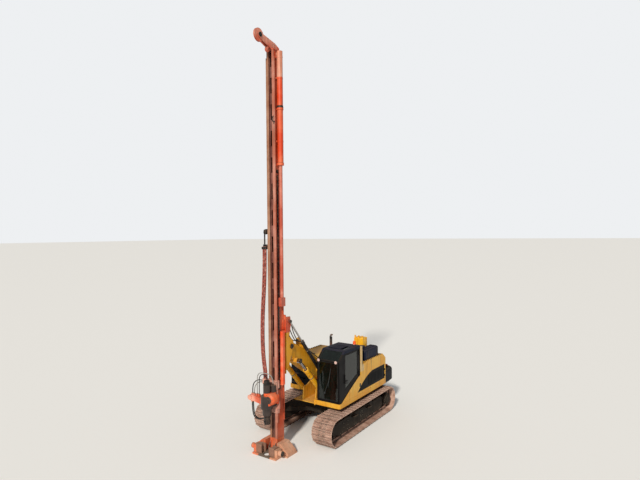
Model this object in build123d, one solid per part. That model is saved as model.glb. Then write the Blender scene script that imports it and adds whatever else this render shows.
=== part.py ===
from build123d import *
import math
import os

# Excavator-mounted drilling rig: a tracked carrier with a short boom that holds an upright mast.
# Millimetres. The model is laid out round the slewing axis: front is -Y, the cab side is +X, up is +Z.
# Every solid is then moved along Y by ORIGIN_SHIFT, so that the origin is under the middle of the machine.

# Undercarriage
TRACK_HALF_GAUGE = 1295.0
TRACK_WHEEL_Y = 2020.0
TRACK_AXLE_Z = 496.0
SHOE_WIDTH = 800.0
SHOE_COUNT = 49
SHOE_INNER_R = 440.0
SHOE_OUTER_R = 462.0
GROUSER_R = TRACK_AXLE_Z
LINK_INNER_R = 352.0
LINK_WIDTH = 190.0
SPROCKET_TEETH = 21
SPROCKET_TOOTH_DEPTH = 42.0
ROLLER_R = 92.0
ROLLER_COUNT = 7
ROLLER_SPAN = 2900.0
ROLLER_PIN_R = 38.0
CARRIER_ROLLER_R = 68.0
CARRIER_ROLLER_Y = 760.0
FRAME_SIDE = 30.0
FRAME_INNER_HALF = 140.0
FRAME_BOTTOM_Z = 215.0
FRAME_TOP_Z = 690.0
FRAME_END_GAP = 380.0
FRAME_WEB_Z = 400.0
FRAME_NOSE_Z = 590.0
CAR_BODY_HALF_WIDTH = 620.0
CAR_BODY_HALF_LENGTH = 760.0
CAR_BODY_BOTTOM_Z = 480.0
CAR_BODY_TOP_Z = 930.0
LEG_ROOT_Y = 420.0
LEG_TIP_Y = 980.0
LEG_TIP_WIDTH = 440.0
SLEW_RING_R = 640.0
SLEW_RING_TOP_Z = 1075.0
RUNNING_GAP = 0.5

# House: the turning upper frame and its deck
PLATE = 30.0
DECK_Z = 1300.0
DECK_DEPTH = 165.0
HOUSE_HALF_WIDTH = 1500.0
HOUSE_FRONT_Y = -1600.0
RIGHT_FRONT_Y = -560.0
DECK_REAR_Y = 2000.0
TURNTABLE_REAR_Y = 2350.0
TURNTABLE_HALF_WIDTH = 620.0
BRACKET_X = 262.0
BRACKET_THICK = 44.0
COUNTERWEIGHT_REAR_Y = 3000.0
COUNTERWEIGHT_TOP_Z = 1620.0
COUNTERWEIGHT_BOTTOM_Z = 1080.0
COUNTERWEIGHT_CORNER_R = 520.0

# Cab
CAB_X0 = 530.0
SKIN_X1 = HOUSE_HALF_WIDTH - 2.0
SKIN = 20.0
CAB_X1 = SKIN_X1 - SKIN
CAB_FRONT_Y = -1585.0
CAB_REAR_Y = -90.0
CAB_FLOOR_Z = DECK_Z
CAB_BROW_Z = 2770.0
CAB_ROOF_Z = 3110.0
CAB_ROOF_FRONT_Y = -1190.0
CAB_POST = 75.0
CAB_WALL = 40.0
GLASS = 8.0
GLASS_DROP = 16.0
DOOR_GAP = 6.0
DOOR_THICK = 42.0
DOOR_REAR_Y = -200.0
DOOR_HINGE_Y = DOOR_REAR_Y - DOOR_GAP / 2
DOOR_HINGE_HEIGHTS = (2080.0, 2860.0)
HINGE_R = 12.0
HINGE_PIN_R = 6.0
HINGE_OUT = 16.0
HINGE_HALF = 40.0
HINGE_REACH = 95.0
DOOR_FRONT_Y = -1270.0
WINDOW_SPLIT_Y = -900.0
FRONT_SILL = 420.0
REAR_SILL = 780.0

# Body behind the cab
BODY_FRONT_Y = -60.0
BODY_X0 = 560.0
BODY_NOSE_Z = 2230.0
BODY_TAIL_Z = 2200.0
BODY_CREST_FRONT_Y = 350.0
BODY_CREST_REAR_Y = 1750.0
BODY_TOP_Z = 2400.0
HOOD_FRONT_Y = 420.0
HOOD_REAR_Y = 1960.0
HOOD_REAR_GAP = 20.0
HOOD_RISE = 40.0
HOOD_LIP = 30.0
HOOD_KNUCKLE_R = 22.0
HOOD_PIN_R = 10.0
ENGINE_HALF_WIDTH = 500.0
ENGINE_FRONT_Y = 900.0
ENGINE_REAR_Y = 1700.0
ENGINE_TOP_Z = 2150.0
PANEL = 25.0
SWEEP_START = (CAB_FRONT_Y + 165.0, DECK_Z)
SWEEP_MIDDLE = (-700.0, 1700.0)
SWEEP_END = (-100.0, 1985.0)
SERVICE_DOOR_TOP_Z = 1950.0
SERVICE_DOOR_LOW_Z = 1375.0
SERVICE_DOOR_FRONT_Y = -330.0
SERVICE_DOOR_REAR_Y = 1900.0
SERVICE_DOOR_MIDDLE = (110.0, 1690.0)
SERVICE_DOOR_CREST_Y = 850.0
SERVICE_LEAF = 18.0
LOUVRE_COUNT = 10
LOUVRE_FIRST_Y = 480.0
LOUVRE_PITCH = 120.0
POST_TOP_Z = 3050.0
SERVICE_HINGE_Y = SERVICE_DOOR_REAR_Y - DOOR_GAP / 2
SERVICE_HINGE_HEIGHTS = (1500.0, 1740.0)

CABINET_X1 = 1010.0
CABINET_Y = 980.0
CABINET_DEPTH = 350.0
CABINET_TOP_Z = 3110.0
CABINET_HOOD_GAP = 14.0
AIR_BOX_REAR_Y = 1470.0
AIR_BOX_HEIGHT = 390.0
EXHAUST_Y = 1260.0
EXHAUST_TOP_Z = 3000.0
TANK_INNER_X = 540.0
TANK_FRONT_Y = -540.0
VALVE_Y = 410.0
VALVE_TOP_Z = 1480.0
VALVE_PORT_Z = 1370.0
VALVE_PORT_REACH = 25.0

# Boom
BOOM_FOOT = (-350.0, 1750.0)
BOOM_TIP = (-2750.0, 3450.0)
BOOM_HALF_WIDTH = 232.0
BOOM_FOOT_R = 165.0
BOOM_TIP_R = 150.0
BOOM_PIN_R = 55.0
BOOM_DEPTH_TOP = 300.0
BOOM_DEPTH_BOTTOM = 270.0
FIT = 0.05

# Boom cylinders
BOOM_CYL_BASE = (-1150.0, 1470.0)
BOOM_CYL_EYE = (-2480.0, 2900.0)
BOOM_CYL_X = 408.0
BOOM_CYL_R = 92.0
BOOM_ROD_R = 50.0
BOOM_BARREL_LENGTH = 1420.0

# Tilt cylinders between boom and cradle
TILT_CYL_BASE = (-1120.0, 2250.0)
TILT_CYL_EYE = (-2880.0, 4330.0)
TILT_CYL_X = 312.0
TILT_CYL_R = 62.0
TILT_ROD_R = 32.0
TILT_BARREL_LENGTH = 1650.0

# Cradle
CRADLE_BOTTOM_Z = 2560.0
CRADLE_TOP_Z = 4560.0
CRADLE_PLATE_GAP = 3.0
CRADLE_CLAW_HEIGHT = 320.0

BOOM_EYE_HALF = 56.0
TILT_EYE_HALF = 42.0
CYL_PIN_R = 42.0
BOSS_R = 90.0
EYE_SIDE_GAP = 2.0

# Mast
MAST_Y = -3230.0
MAST_WIDTH = 300.0
MAST_DEPTH = 380.0
MAST_BOTTOM_Z = 450.0
MAST_TOP_Z = 13450.0
MAST_WALL = 14.0
FRONT_RAIL_WIDTH = 82.0
CHANNEL_DEPTH = 55.0
SLOT_WIDTH = 80.0
SLOT_HEIGHT = 520.0
SLOT_PITCH = 884.0
SLOT_FIRST_Z = 1410.0
GUIDE_BAR_REACH = 34.0
GUIDE_BAR_THICK = 30.0
GUIDE_BAR_BOTTOM_Z = 1000.0
GUIDE_BAR_TOP_Z = 13200.0
GUIDE_GAP = 0.05

# Feed system on the mast's left side
FEED_CYL_X = 262.0
FEED_CYL_R = 98.0
FEED_CYL_BOTTOM_Z = 9600.0
FEED_CYL_TOP_Z = 13400.0
FEED_ROD_R = 60.0
FEED_BLOCK_Z = 5050.0
FEED_TRAVEL = 5600.0
FEED_ROD_GAP = 350.0
CHAIN_OFFSET = 70.0
CHAIN_PITCH = 110.0
CHAIN_BOTTOM_Z = 2150.0
CHAIN_TOP_Z = 9400.0
CHAIN_COVER_BOTTOM_Z = 2250.0
CHAIN_COVER_TOP_Z = 4050.0

# Rotary head and its spindle
DRILL_AXIS_GAP = 330.0
CARRIAGE_GAP = 12.0
CARRIAGE_PLATE = 45.0
CARRIAGE_BOTTOM_Z = 1330.0
CARRIAGE_TOP_Z = 2420.0
CARRIAGE_CLAW_HEIGHT = 260.0
SPINDLE_R = 64.0
SPINDLE_BOTTOM_Z = 1040.0
SPINDLE_TOP_Z = 2400.0
CHUCK_R = 105.0
CHUCK_HEIGHT = 250.0
HEAD_R = 205.0
HEAD_BOTTOM_Z = 1560.0
HEAD_TOP_Z = 1980.0
HEAD_PAD_X = 245.0
HEAD_PAD_Z = (1640.0, 1830.0)
MOTOR_R = 95.0
MOTOR_X = 130.0
MOTOR_OFFSET = 170.0
HEAD_MOTOR_TOP_Z = 2300.0
SIDE_DRIVE_R = 190.0
SIDE_DRIVE_X = 160.0
ARM_TOP_Z = 1900.0
ARM_LOW_Z = 1640.0
ARM_LOW_X = -700.0
HEAD_PORTS = (-400.0, -490.0)
SUPPLY_PORTS = (-680.0, -600.0)
HEAD_PORT_Y = 20.0

# The sleeved hose bundle on the mast's right side, its clamp and guide, and its bracket on the sled
SLEEVE_R = 38.0
SLEEVE_PITCH = 86.0
SLEEVE_TOP = (-308.0, 6860.0)
SLEEVE_END = (-302.0, 2420.0)
SLEEVE_CLAMP_HEIGHT = 100.0
GUIDE_ARCH = (-300.0, 7360.0)
GUIDE_ARCH_R = 125.0
GUIDE_ARCH_WIDTH = 55.0
SLED_BRACKET_HEIGHT = 180.0
SUPPLY_DROPS = (80.0, 135.0)

# Foot of the mast
FOOT_HALF_WIDTH = 700.0
FOOT_FRONT_REACH = 170.0
FOOT_PLATE = 50.0
PAD_INNER_X = 250.0
PAD_TOP_Z = 380.0
PAD_EDGE_Z = 120.0
CLAMP_HALF_WIDTH = 500.0
CLAMP_TABLE = 190.0
JAW_HOUSING_X = 390.0
JAW_HOUSING_TOP_Z = 300.0
JAW_Z = 190.0
JAW_ROD_R = 40.0
JAW_STROKE = 60.0
STRING_GUIDE_R = 95.0

FRAME_HALF_LENGTH = TRACK_WHEEL_Y - FRAME_END_GAP
MAST_FRONT_Y = MAST_Y - MAST_DEPTH / 2
MAST_BACK_Y = MAST_Y + MAST_DEPTH / 2
DRILL_Y = MAST_FRONT_Y - DRILL_AXIS_GAP
ARM_Y = DRILL_Y + 60.0
CRADLE_PORT_Y = MAST_BACK_Y + 60.0
CARRIAGE_FACE_Y = MAST_FRONT_Y - CARRIAGE_GAP - CARRIAGE_PLATE
GUIDE_Y = MAST_FRONT_Y + 90.0
SLEEVE_Y = GUIDE_Y - 100.0
SLEEVE_END_Y = CARRIAGE_FACE_Y + 22.0
CROWN_SHEAVE = (MAST_FRONT_Y - 565.0, MAST_TOP_Z + 310.0)
CROWN_SHEAVE_R = 215.0
FRONT_REACH_Y = CROWN_SHEAVE[0] - CROWN_SHEAVE_R
ORIGIN_SHIFT = -(FRONT_REACH_Y + COUNTERWEIGHT_REAR_Y) / 2

CROWN_PIN_R = 28.0
CROWN_PLATE_X = 52.0

# Hoses
HEAD_HOSE_R = 14.0
MAST_HOSE_R = 18.0
SUPPLY_HOSE_R = 16.0
BOOM_HOSE_R = 16.0
HOSE_LANES = (-120.0, 0.0, 120.0)
HOSE_FIT = 0.3
PORT_DEPTH = 35.0
MAST_HOSE_PITCH = 58.0
MAST_HOSE_END = (-225.0, 160.0)
HOSE_BRACKET_Z = 4230.0
SADDLE_FACE_Y = -1930.0
SADDLE_FOOT_Z = 3140.0
SADDLE_REAR = (-1880.0, 3262.0)
SADDLE_AFTER = (-1640.0, 3125.0)
CRADLE_PORT_Z = 4360.0

HOOD_HINGE = (HOOD_FRONT_Y - 5.0, BODY_TOP_Z + HOOD_RISE + 5.0)

SIDE_PLANE = Plane(origin=(0, 0, 0), x_dir=(0, 1, 0), z_dir=(1, 0, 0))


def block(x0, x1, y0, y1, z0, z1):
    """A box between two corners."""
    return Pos((x0 + x1) / 2, (y0 + y1) / 2, (z0 + z1) / 2) * Box(x1 - x0, y1 - y0, z1 - z0)


def side_shape(face, x0, x1):
    """A plate across X made from a flat face that was drawn with y and z."""
    return extrude(SIDE_PLANE.offset(x0) * face, x1 - x0, dir=(1, 0, 0))


def outline_face(points, corner_r=0.0):
    """A flat face inside a closed outline, with all its corners rounded alike."""
    face = make_face(Polyline(*points, close=True))
    return fillet(face.vertices(), corner_r) if corner_r else face


def side_plate(points, x0, x1, corner_r=0.0):
    """A plate across X, its outline given as (y, z) points."""
    return extrude(SIDE_PLANE.offset(x0) * outline_face(points, corner_r), x1 - x0, dir=(1, 0, 0))


def floor_plate(points, z0, z1, corner_r=0.0):
    """A plate across Z, its outline given as (x, y) points."""
    return extrude(Plane.XY.offset(z0) * outline_face(points, corner_r), z1 - z0, dir=(0, 0, 1))


def front_plate(points, y0, y1, corner_r=0.0):
    """A plate across Y, its outline given as (x, z) points."""
    plane = Plane(origin=(0, y1, 0), x_dir=(1, 0, 0), z_dir=(0, -1, 0))
    return extrude(plane * outline_face(points, corner_r), y1 - y0, dir=(0, -1, 0))


def rod_x(radius, x0, x1, y, z):
    """A cylinder along X."""
    return Pos((x0 + x1) / 2, y, z) * Rot(0, 90, 0) * Cylinder(radius, abs(x1 - x0))


def rod_y(radius, y0, y1, x, z):
    """A cylinder along Y."""
    return Pos(x, (y0 + y1) / 2, z) * Rot(90, 0, 0) * Cylinder(radius, abs(y1 - y0))


def rod_z(radius, z0, z1, x, y):
    """A cylinder along Z."""
    return Pos(x, y, (z0 + z1) / 2) * Cylinder(radius, abs(z1 - z0))


def rod_between(radius, x, start, end):
    """A cylinder in the plane at x, between two (y, z) points."""
    run = math.dist(start, end)
    tilt = math.degrees(math.atan2(end[1] - start[1], end[0] - start[0]))
    middle = ((start[0] + end[0]) / 2, (start[1] + end[1]) / 2)
    return Pos(x, *middle) * Rot(tilt, 0, 0) * Rot(90, 0, 0) * Cylinder(radius, run)


def along(start, end, distance):
    """The (y, z) point that lies a distance from start on the way to end."""
    share = distance / math.dist(start, end)
    return tuple(a + (b - a) * share for a, b in zip(start, end))


def mirrored(shape):
    """The shape and its copy across the machine's middle plane."""
    return shape + mirror(shape, about=Plane.YZ)


def group(shapes):
    """Separate solids of one node, kept apart."""
    return Compound([solid for shape in shapes for solid in shape.solids()])


def both_sides(shape):
    """The left side's piece and its mirror image, kept apart."""
    return group([shape, mirror(shape, about=Plane.YZ)])


# Tracks

def loop_point(distance, radius, straight):
    """The (y, z) point at a distance round the track's pitch line, pushed out to a radius."""
    turn = math.pi * SHOE_INNER_R
    lap = 2 * (straight + turn)
    distance %= lap
    half = straight / 2
    if distance < straight:
        return (-half + distance, TRACK_AXLE_Z - radius)
    distance -= straight
    if distance < turn:
        angle = -math.pi / 2 + distance / SHOE_INNER_R
        return (half + radius * math.cos(angle), TRACK_AXLE_Z + radius * math.sin(angle))
    distance -= turn
    if distance < straight:
        return (half - distance, TRACK_AXLE_Z + radius)
    distance -= straight
    angle = math.pi / 2 + distance / SHOE_INNER_R
    return (-half + radius * math.cos(angle), TRACK_AXLE_Z + radius * math.sin(angle))


def stadium(radius, x0, x1):
    """A slab with two round ends, centred on the track's wheels."""
    middle = block(x0, x1, -TRACK_WHEEL_Y, TRACK_WHEEL_Y, TRACK_AXLE_Z - radius, TRACK_AXLE_Z + radius)
    ends = [rod_x(radius, x0, x1, y, TRACK_AXLE_Z) for y in (-TRACK_WHEEL_Y, TRACK_WHEEL_Y)]
    return middle + ends[0] + ends[1]


def track_loop(side):
    """One closed track: the shoes with their three bars, and the link ring that the wheels run in."""
    straight = 2 * TRACK_WHEEL_Y
    pitch = 2 * (straight + math.pi * SHOE_INNER_R) / SHOE_COUNT
    low_bar = (SHOE_OUTER_R + GROUSER_R) / 2
    # Columns: share of the pitch, radius
    shoe = ((0.02, SHOE_OUTER_R), (0.06, GROUSER_R), (0.13, GROUSER_R), (0.18, SHOE_OUTER_R),
            (0.52, SHOE_OUTER_R), (0.56, low_bar), (0.61, SHOE_OUTER_R))
    points = [loop_point((i + share) * pitch, radius, straight)
              for i in range(SHOE_COUNT) for share, radius in shoe]
    centre = side * TRACK_HALF_GAUGE
    x0, x1 = centre - SHOE_WIDTH / 2, centre + SHOE_WIDTH / 2
    shoes = side_plate(points, x0, x1) - stadium(SHOE_INNER_R, x0 - 1, x1 + 1)
    l0, l1 = centre - LINK_WIDTH / 2, centre + LINK_WIDTH / 2
    links = stadium(SHOE_INNER_R + 4, l0, l1) - stadium(LINK_INNER_R, l0 - 1, l1 + 1)
    return shoes + links


def sprocket():
    """The toothed drive wheel, its final drive and its cover, on the left track's centre line."""
    tip = LINK_INNER_R - RUNNING_GAP
    root = tip - SPROCKET_TOOTH_DEPTH
    step = 2 * math.pi / SPROCKET_TEETH
    points = []
    for i in range(SPROCKET_TEETH):
        # Columns: share of a tooth, radius
        for share, radius in ((0.0, root), (0.28, root), (0.42, tip), (0.86, tip)):
            angle = (i + share) * step
            points.append((TRACK_WHEEL_Y + radius * math.cos(angle), TRACK_AXLE_Z + radius * math.sin(angle)))
    x = TRACK_HALF_GAUGE
    wheel = side_plate(points, x - 38, x + 38)
    drive = rod_x(262, x - 150, x + 150, TRACK_WHEEL_Y, TRACK_AXLE_Z)
    cover = rod_x(185, x + 150, x + 215, TRACK_WHEEL_Y, TRACK_AXLE_Z)
    return wheel + drive + cover


def idler():
    """The front wheel: a rim with a raised middle that runs between the links, on a hub with a pin."""
    x = TRACK_HALF_GAUGE
    axle = (-TRACK_WHEEL_Y, TRACK_AXLE_Z)
    wheel = rod_x(LINK_INNER_R - RUNNING_GAP, x - LINK_WIDTH / 2, x + LINK_WIDTH / 2, *axle)
    for face in (-1, 1):
        wheel -= rod_x(270, x + face * 60, x + face * 140, *axle)
    return wheel + rod_x(95, x - FRAME_INNER_HALF, x + FRAME_INNER_HALF, *axle)


def rollers():
    """The bottom and carrier rollers of the left track, each on its pin."""
    x = TRACK_HALF_GAUGE
    half = FRAME_INNER_HALF - 8
    low_z = TRACK_AXLE_Z - LINK_INNER_R + ROLLER_R + RUNNING_GAP
    high_z = TRACK_AXLE_Z + LINK_INNER_R - CARRIER_ROLLER_R - RUNNING_GAP
    step = ROLLER_SPAN / (ROLLER_COUNT - 1)
    # Columns: y, z, radius
    places = [(-ROLLER_SPAN / 2 + i * step, low_z, ROLLER_R) for i in range(ROLLER_COUNT)]
    places += [(y, high_z, CARRIER_ROLLER_R) for y in (-CARRIER_ROLLER_Y, CARRIER_ROLLER_Y)]
    parts = []
    for y, z, radius in places:
        parts.append(rod_x(radius, x - half, x + half, y, z)
                     + rod_x(ROLLER_PIN_R, x - FRAME_INNER_HALF, x + FRAME_INNER_HALF, y, z))
    return group(parts)


def track_frame():
    """The left side frame: a channel over the rollers, an idler fork and a bracket for the drive."""
    x = TRACK_HALF_GAUGE
    top = FRAME_TOP_Z
    carrier_top = TRACK_AXLE_Z + LINK_INNER_R - CARRIER_ROLLER_R + ROLLER_PIN_R
    half_width, half_length = FRAME_INNER_HALF, FRAME_HALF_LENGTH
    frame = block(x - half_width, x + half_width, -half_length, half_length, FRAME_WEB_Z, top - 40)
    nose_y = -TRACK_WHEEL_Y - 110
    side = [(nose_y, FRAME_WEB_Z), (nose_y, FRAME_NOSE_Z), (-half_length, top), (half_length, top),
            (half_length + 90, FRAME_NOSE_Z), (half_length + 90, FRAME_WEB_Z - 20),
            (half_length - 40, FRAME_BOTTOM_Z), (-half_length + 40, FRAME_BOTTOM_Z)]
    for s in (-1, 1):
        a = x + s * half_width
        b = a + s * FRAME_SIDE
        frame += side_plate(side, min(a, b), max(a, b))
        for y in (-CARRIER_ROLLER_Y, CARRIER_ROLLER_Y):
            frame += block(min(a, b), max(a, b), y - 70, y + 70, top - 20, carrier_top)
    inner = x - half_width - FRAME_SIDE
    bracket = [(half_length - 60, FRAME_WEB_Z - 20), (half_length - 60, FRAME_TOP_Z - 50),
               (TRACK_WHEEL_Y, TRACK_AXLE_Z + 264), (TRACK_WHEEL_Y + 230, TRACK_AXLE_Z + 124),
               (TRACK_WHEEL_Y + 230, TRACK_AXLE_Z - 126), (TRACK_WHEEL_Y, TRACK_AXLE_Z - 261)]
    return frame + side_plate(bracket, inner - 40, inner)


def car_body():
    """The middle frame under the slewing ring, with four legs that taper out to the side frames."""
    w, d = CAR_BODY_HALF_WIDTH, CAR_BODY_HALF_LENGTH
    body = floor_plate([(-w, -d), (w, -d), (w, d), (-w, d)], CAR_BODY_BOTTOM_Z, CAR_BODY_TOP_Z, 180)
    inner = TRACK_HALF_GAUGE - FRAME_INNER_HALF - FRAME_SIDE
    for s in (-1, 1):
        # Columns: drawn in from the leg's edges, low, high
        for inset, z0, z1 in ((0, CAR_BODY_BOTTOM_Z + 40, FRAME_TOP_Z - 30),
                              (40, FRAME_TOP_Z - 50, CAR_BODY_TOP_Z - 50)):
            root, tip = s * (LEG_ROOT_Y + inset), s * (LEG_TIP_Y + inset)
            end, back = s * (LEG_TIP_Y + LEG_TIP_WIDTH - inset), s * (d - inset)
            outline = [(w / 2, root), (inner, tip), (inner, end), (w / 2 - 60, back)]
            body += mirrored(floor_plate(outline, z0, z1))
    return body + rod_z(SLEW_RING_R - 40, CAR_BODY_TOP_Z - 10, CAR_BODY_TOP_Z + 40, 0, 0)


# House

def turntable():
    """The welded middle frame: floor plate, two long upright plates that hold the boom foot, and the pins."""
    half, z = TURNTABLE_HALF_WIDTH, SLEW_RING_TOP_Z
    floor = block(-half, half, HOUSE_FRONT_Y + 160, TURNTABLE_REAR_Y, z, z + PLATE)
    foot_y, foot_z = BOOM_FOOT
    base_y, base_z = BOOM_CYL_BASE
    z0, tail_y = z + PLATE / 2, TURNTABLE_REAR_Y - 50
    outer = BRACKET_X + BRACKET_THICK
    web = side_plate([(base_y - 200, z0), (base_y - 150, base_z + 110), (base_y + 90, base_z + 120),
                      (foot_y - 250, foot_z + 60), (foot_y - 110, foot_z + 170), (foot_y + 110, foot_z + 170),
                      (foot_y + 850, DECK_Z), (tail_y, DECK_Z), (tail_y, z0)], BRACKET_X, outer)
    frame = floor + mirrored(web)
    frame += rod_x(BOOM_PIN_R, -outer - 25, outer + 25, foot_y, foot_z)
    frame += mirrored(rod_x(BOOM_PIN_R + 25, outer - 2, outer + 25, foot_y, foot_z))
    pin = rod_x(CYL_PIN_R, BRACKET_X + 10, BOOM_CYL_X + BOOM_EYE_HALF + 12, base_y, base_z)
    boss = rod_x(BOSS_R, outer - 2, BOOM_CYL_X - BOOM_EYE_HALF - EYE_SIDE_GAP, base_y, base_z)
    return frame + mirrored(pin + boss)


def deck(front):
    """A side deck from its front edge to the tail, with a rounded outer front corner and a deep rim."""
    inner, outer = BRACKET_X + BRACKET_THICK + 90, HOUSE_HALF_WIDTH
    low = DECK_Z - DECK_DEPTH
    top = block(inner, outer, front, DECK_REAR_Y, DECK_Z - 40, DECK_Z)
    rim = block(inner, outer, front, front + 70, low, DECK_Z - 30)
    rim += block(outer - 70, outer, front, DECK_REAR_Y, low, DECK_Z - 30)
    rim += block(inner, inner + 50, front, DECK_REAR_Y, SLEW_RING_TOP_Z + PLATE, DECK_Z - 30)
    rim += block(inner + 40, outer - 60, 150, 210, low, DECK_Z - 30)
    plate = top + rim
    corner = [e for e in plate.edges().filter_by(Axis.Z)
              if abs(e.center().X - outer) < 1 and abs(e.center().Y - front) < 1]
    return fillet(corner, 60)


def counterweight():
    """The cast tail weight: rounded rear corners, a bevelled foot and a recess for the tow point."""
    x, y0, y1 = HOUSE_HALF_WIDTH, DECK_REAR_Y + 10, COUNTERWEIGHT_REAR_Y
    r = COUNTERWEIGHT_CORNER_R
    body = block(-x, x, y0, y1, COUNTERWEIGHT_BOTTOM_Z, COUNTERWEIGHT_TOP_Z)
    rear = [e for e in body.edges().filter_by(Axis.Z) if e.center().Y > y1 - 1]
    body = fillet(rear, r)
    top = body.faces().sort_by(Axis.Z)[-1]
    body = fillet(top.edges().filter_by(lambda e: e.center().Y > y0 + 1), 70)
    bottom = body.faces().sort_by(Axis.Z)[0]
    body = chamfer(bottom.edges().filter_by(lambda e: e.center().Y > y0 + 1), 90)
    z, notch = COUNTERWEIGHT_BOTTOM_Z, TURNTABLE_HALF_WIDTH + 30
    body -= block(-notch, notch, y0 - 1, TURNTABLE_REAR_Y, z - 1, z + 420)
    return body - block(-220, 220, y1 - 60, y1 + 1, z + 180, z + 330)


# Hinges of the doors

def hinge_leaf(face_x, y, heights):
    """The door's half of its hinges: knuckles that turn on the pins, with straps on the door's outer face."""
    x = face_x + HINGE_OUT
    parts = []
    for z in heights:
        knuckle = rod_z(HINGE_R, z - HINGE_HALF, z + HINGE_HALF, x, y)
        strap = block(face_x - 1, face_x + 10, y - 70, y - 2, z - HINGE_HALF, z + HINGE_HALF)
        parts.append(knuckle + strap - rod_z(HINGE_PIN_R + FIT, z - HINGE_HALF - 1, z + HINGE_HALF + 1, x, y))
    return parts


def hinge_post(face_x, y, heights):
    """The wall's half of the same hinges: each pin with an ear above and below the knuckle."""
    x = face_x + HINGE_OUT
    parts = []
    for z in heights:
        post = rod_z(HINGE_PIN_R, z - HINGE_REACH, z + HINGE_REACH, x, y)
        for low in (z - HINGE_REACH, z + HINGE_HALF + 1):
            high = low + HINGE_REACH - HINGE_HALF - 1
            post += rod_z(HINGE_R, low, high, x, y) + block(face_x - 1, face_x + 10, y + 4, y + 60, low, high)
        parts.append(post)
    return parts


# Cab

def cab_outline(inset=0.0):
    """The cab's side outline as (y, z) points, drawn in from all sides by an inset."""
    front, rear = CAB_FRONT_Y + inset, CAB_REAR_Y - inset
    low, high = CAB_FLOOR_Z + inset, CAB_ROOF_Z - inset
    return [(front, low), (front, CAB_BROW_Z - inset * 0.4), (CAB_ROOF_FRONT_Y + inset * 0.4, high),
            (rear, high), (rear, low)]


def sweep_face():
    """The low yellow panel below the cab: it sweeps up from the deck to the cab's rear corner."""
    arc = ThreePointArc(SWEEP_START, SWEEP_MIDDLE, SWEEP_END)
    back = Polyline(SWEEP_END, (BODY_FRONT_Y, SWEEP_END[1]), (BODY_FRONT_Y, DECK_Z), SWEEP_START)
    return make_face(arc + back)


def door_face(gap=0.0):
    """The cab door's outline, cut off below along the sweeping panel and drawn in by a gap."""
    top = CAB_ROOF_Z - 90
    frame = make_face(Polyline((DOOR_FRONT_Y, DECK_Z), (DOOR_FRONT_Y, top - 60), (DOOR_FRONT_Y + 60, top),
                               (DOOR_REAR_Y, top), (DOOR_REAR_Y, DECK_Z), close=True))
    frame -= offset(sweep_face(), 2 * DOOR_GAP)
    return offset(frame, -gap) if gap else frame


def brow_frame():
    """The cab's sloped upper front: its pitch in degrees, its length and its middle as a (y, z) point."""
    low, high = (CAB_FRONT_Y, CAB_BROW_Z), (CAB_ROOF_FRONT_Y, CAB_ROOF_Z)
    pitch = math.degrees(math.atan2(high[1] - low[1], high[0] - low[0]))
    return pitch, math.dist(low, high), along(low, high, math.dist(low, high) / 2)


def cab_windows():
    """The four upright window openings as boxes: x0, x1, y0, y1, z0, z1 of the clear opening."""
    inner0, inner1 = CAB_X0 + CAB_POST, CAB_X1 - CAB_POST
    side0, side1 = CAB_X0, CAB_X0 + CAB_WALL
    front, rear, floor, high = CAB_FRONT_Y, CAB_REAR_Y, CAB_FLOOR_Z, CAB_ROOF_Z - 130
    split0, split1 = WINDOW_SPLIT_Y - 30, WINDOW_SPLIT_Y + 30
    return ((inner0, inner1, front, front + CAB_WALL, floor + 90, CAB_BROW_Z - 40),
            (inner0 + 20, inner1 - 20, rear - CAB_WALL, rear, floor + 900, high),
            (side0, side1, front + 110, split0, floor + FRONT_SILL, CAB_BROW_Z - 60),
            (side0, side1, split1, rear - 110, floor + REAR_SILL, high))


def roof_hatch():
    """The roof window's opening: x0, x1, y0, y1."""
    return (CAB_X0 + CAB_POST + 60, CAB_X1 - CAB_POST - 60, CAB_ROOF_FRONT_Y + 140, CAB_ROOF_FRONT_Y + 640)


def cab_shell():
    """The hollow cab: posts, roof, floor and lower panels, open at the windows and the door."""
    shell = side_plate(cab_outline(), CAB_X0, CAB_X1)
    shell -= side_plate(cab_outline(CAB_WALL), CAB_X0 + CAB_WALL, CAB_X1 - DOOR_THICK)
    for x0, x1, y0, y1, z0, z1 in cab_windows():
        wall_x, wall_y = (1, 0) if x1 - x0 < y1 - y0 else (0, 1)
        shell -= block(x0 - wall_x, x1 + wall_x, y0 - wall_y, y1 + wall_y, z0, z1)
    pitch, run, middle = brow_frame()
    width = CAB_X1 - CAB_X0 - 2 * CAB_POST
    shell -= Pos((CAB_X0 + CAB_X1) / 2, *middle) * Rot(pitch, 0, 0) * Box(width, run - 110, 200)
    shell -= block(*roof_hatch(), CAB_ROOF_Z - CAB_WALL - 1, CAB_ROOF_Z + 1)
    shell -= side_shape(door_face(), CAB_X1 - DOOR_THICK - 10, CAB_X1 + 1)
    for post in hinge_post(CAB_X1, DOOR_HINGE_Y, DOOR_HINGE_HEIGHTS):
        shell += post
    return shell


def cab_glass():
    """The fixed panes, one in each window opening."""
    panes = []
    for x0, x1, y0, y1, z0, z1 in cab_windows():
        x, y = (x0 + x1 - GLASS) / 2, (y0 + y1 - GLASS) / 2
        if x1 - x0 < y1 - y0:
            panes.append(block(x, x + GLASS, y0, y1, z0, z1))
        else:
            panes.append(block(x0, x1, y, y + GLASS, z0, z1))
    pitch, run, middle = brow_frame()
    width = CAB_X1 - CAB_X0 - 2 * CAB_POST
    pane = Pos((CAB_X0 + CAB_X1) / 2, *middle) * Rot(pitch, 0, 0) * Pos(0, 0, -GLASS_DROP)
    panes.append(pane * Box(width, run - 110, GLASS))
    hatch_z = CAB_ROOF_Z - GLASS_DROP - GLASS / 2
    return group(panes + [block(*roof_hatch(), hatch_z, hatch_z + GLASS)])


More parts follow.
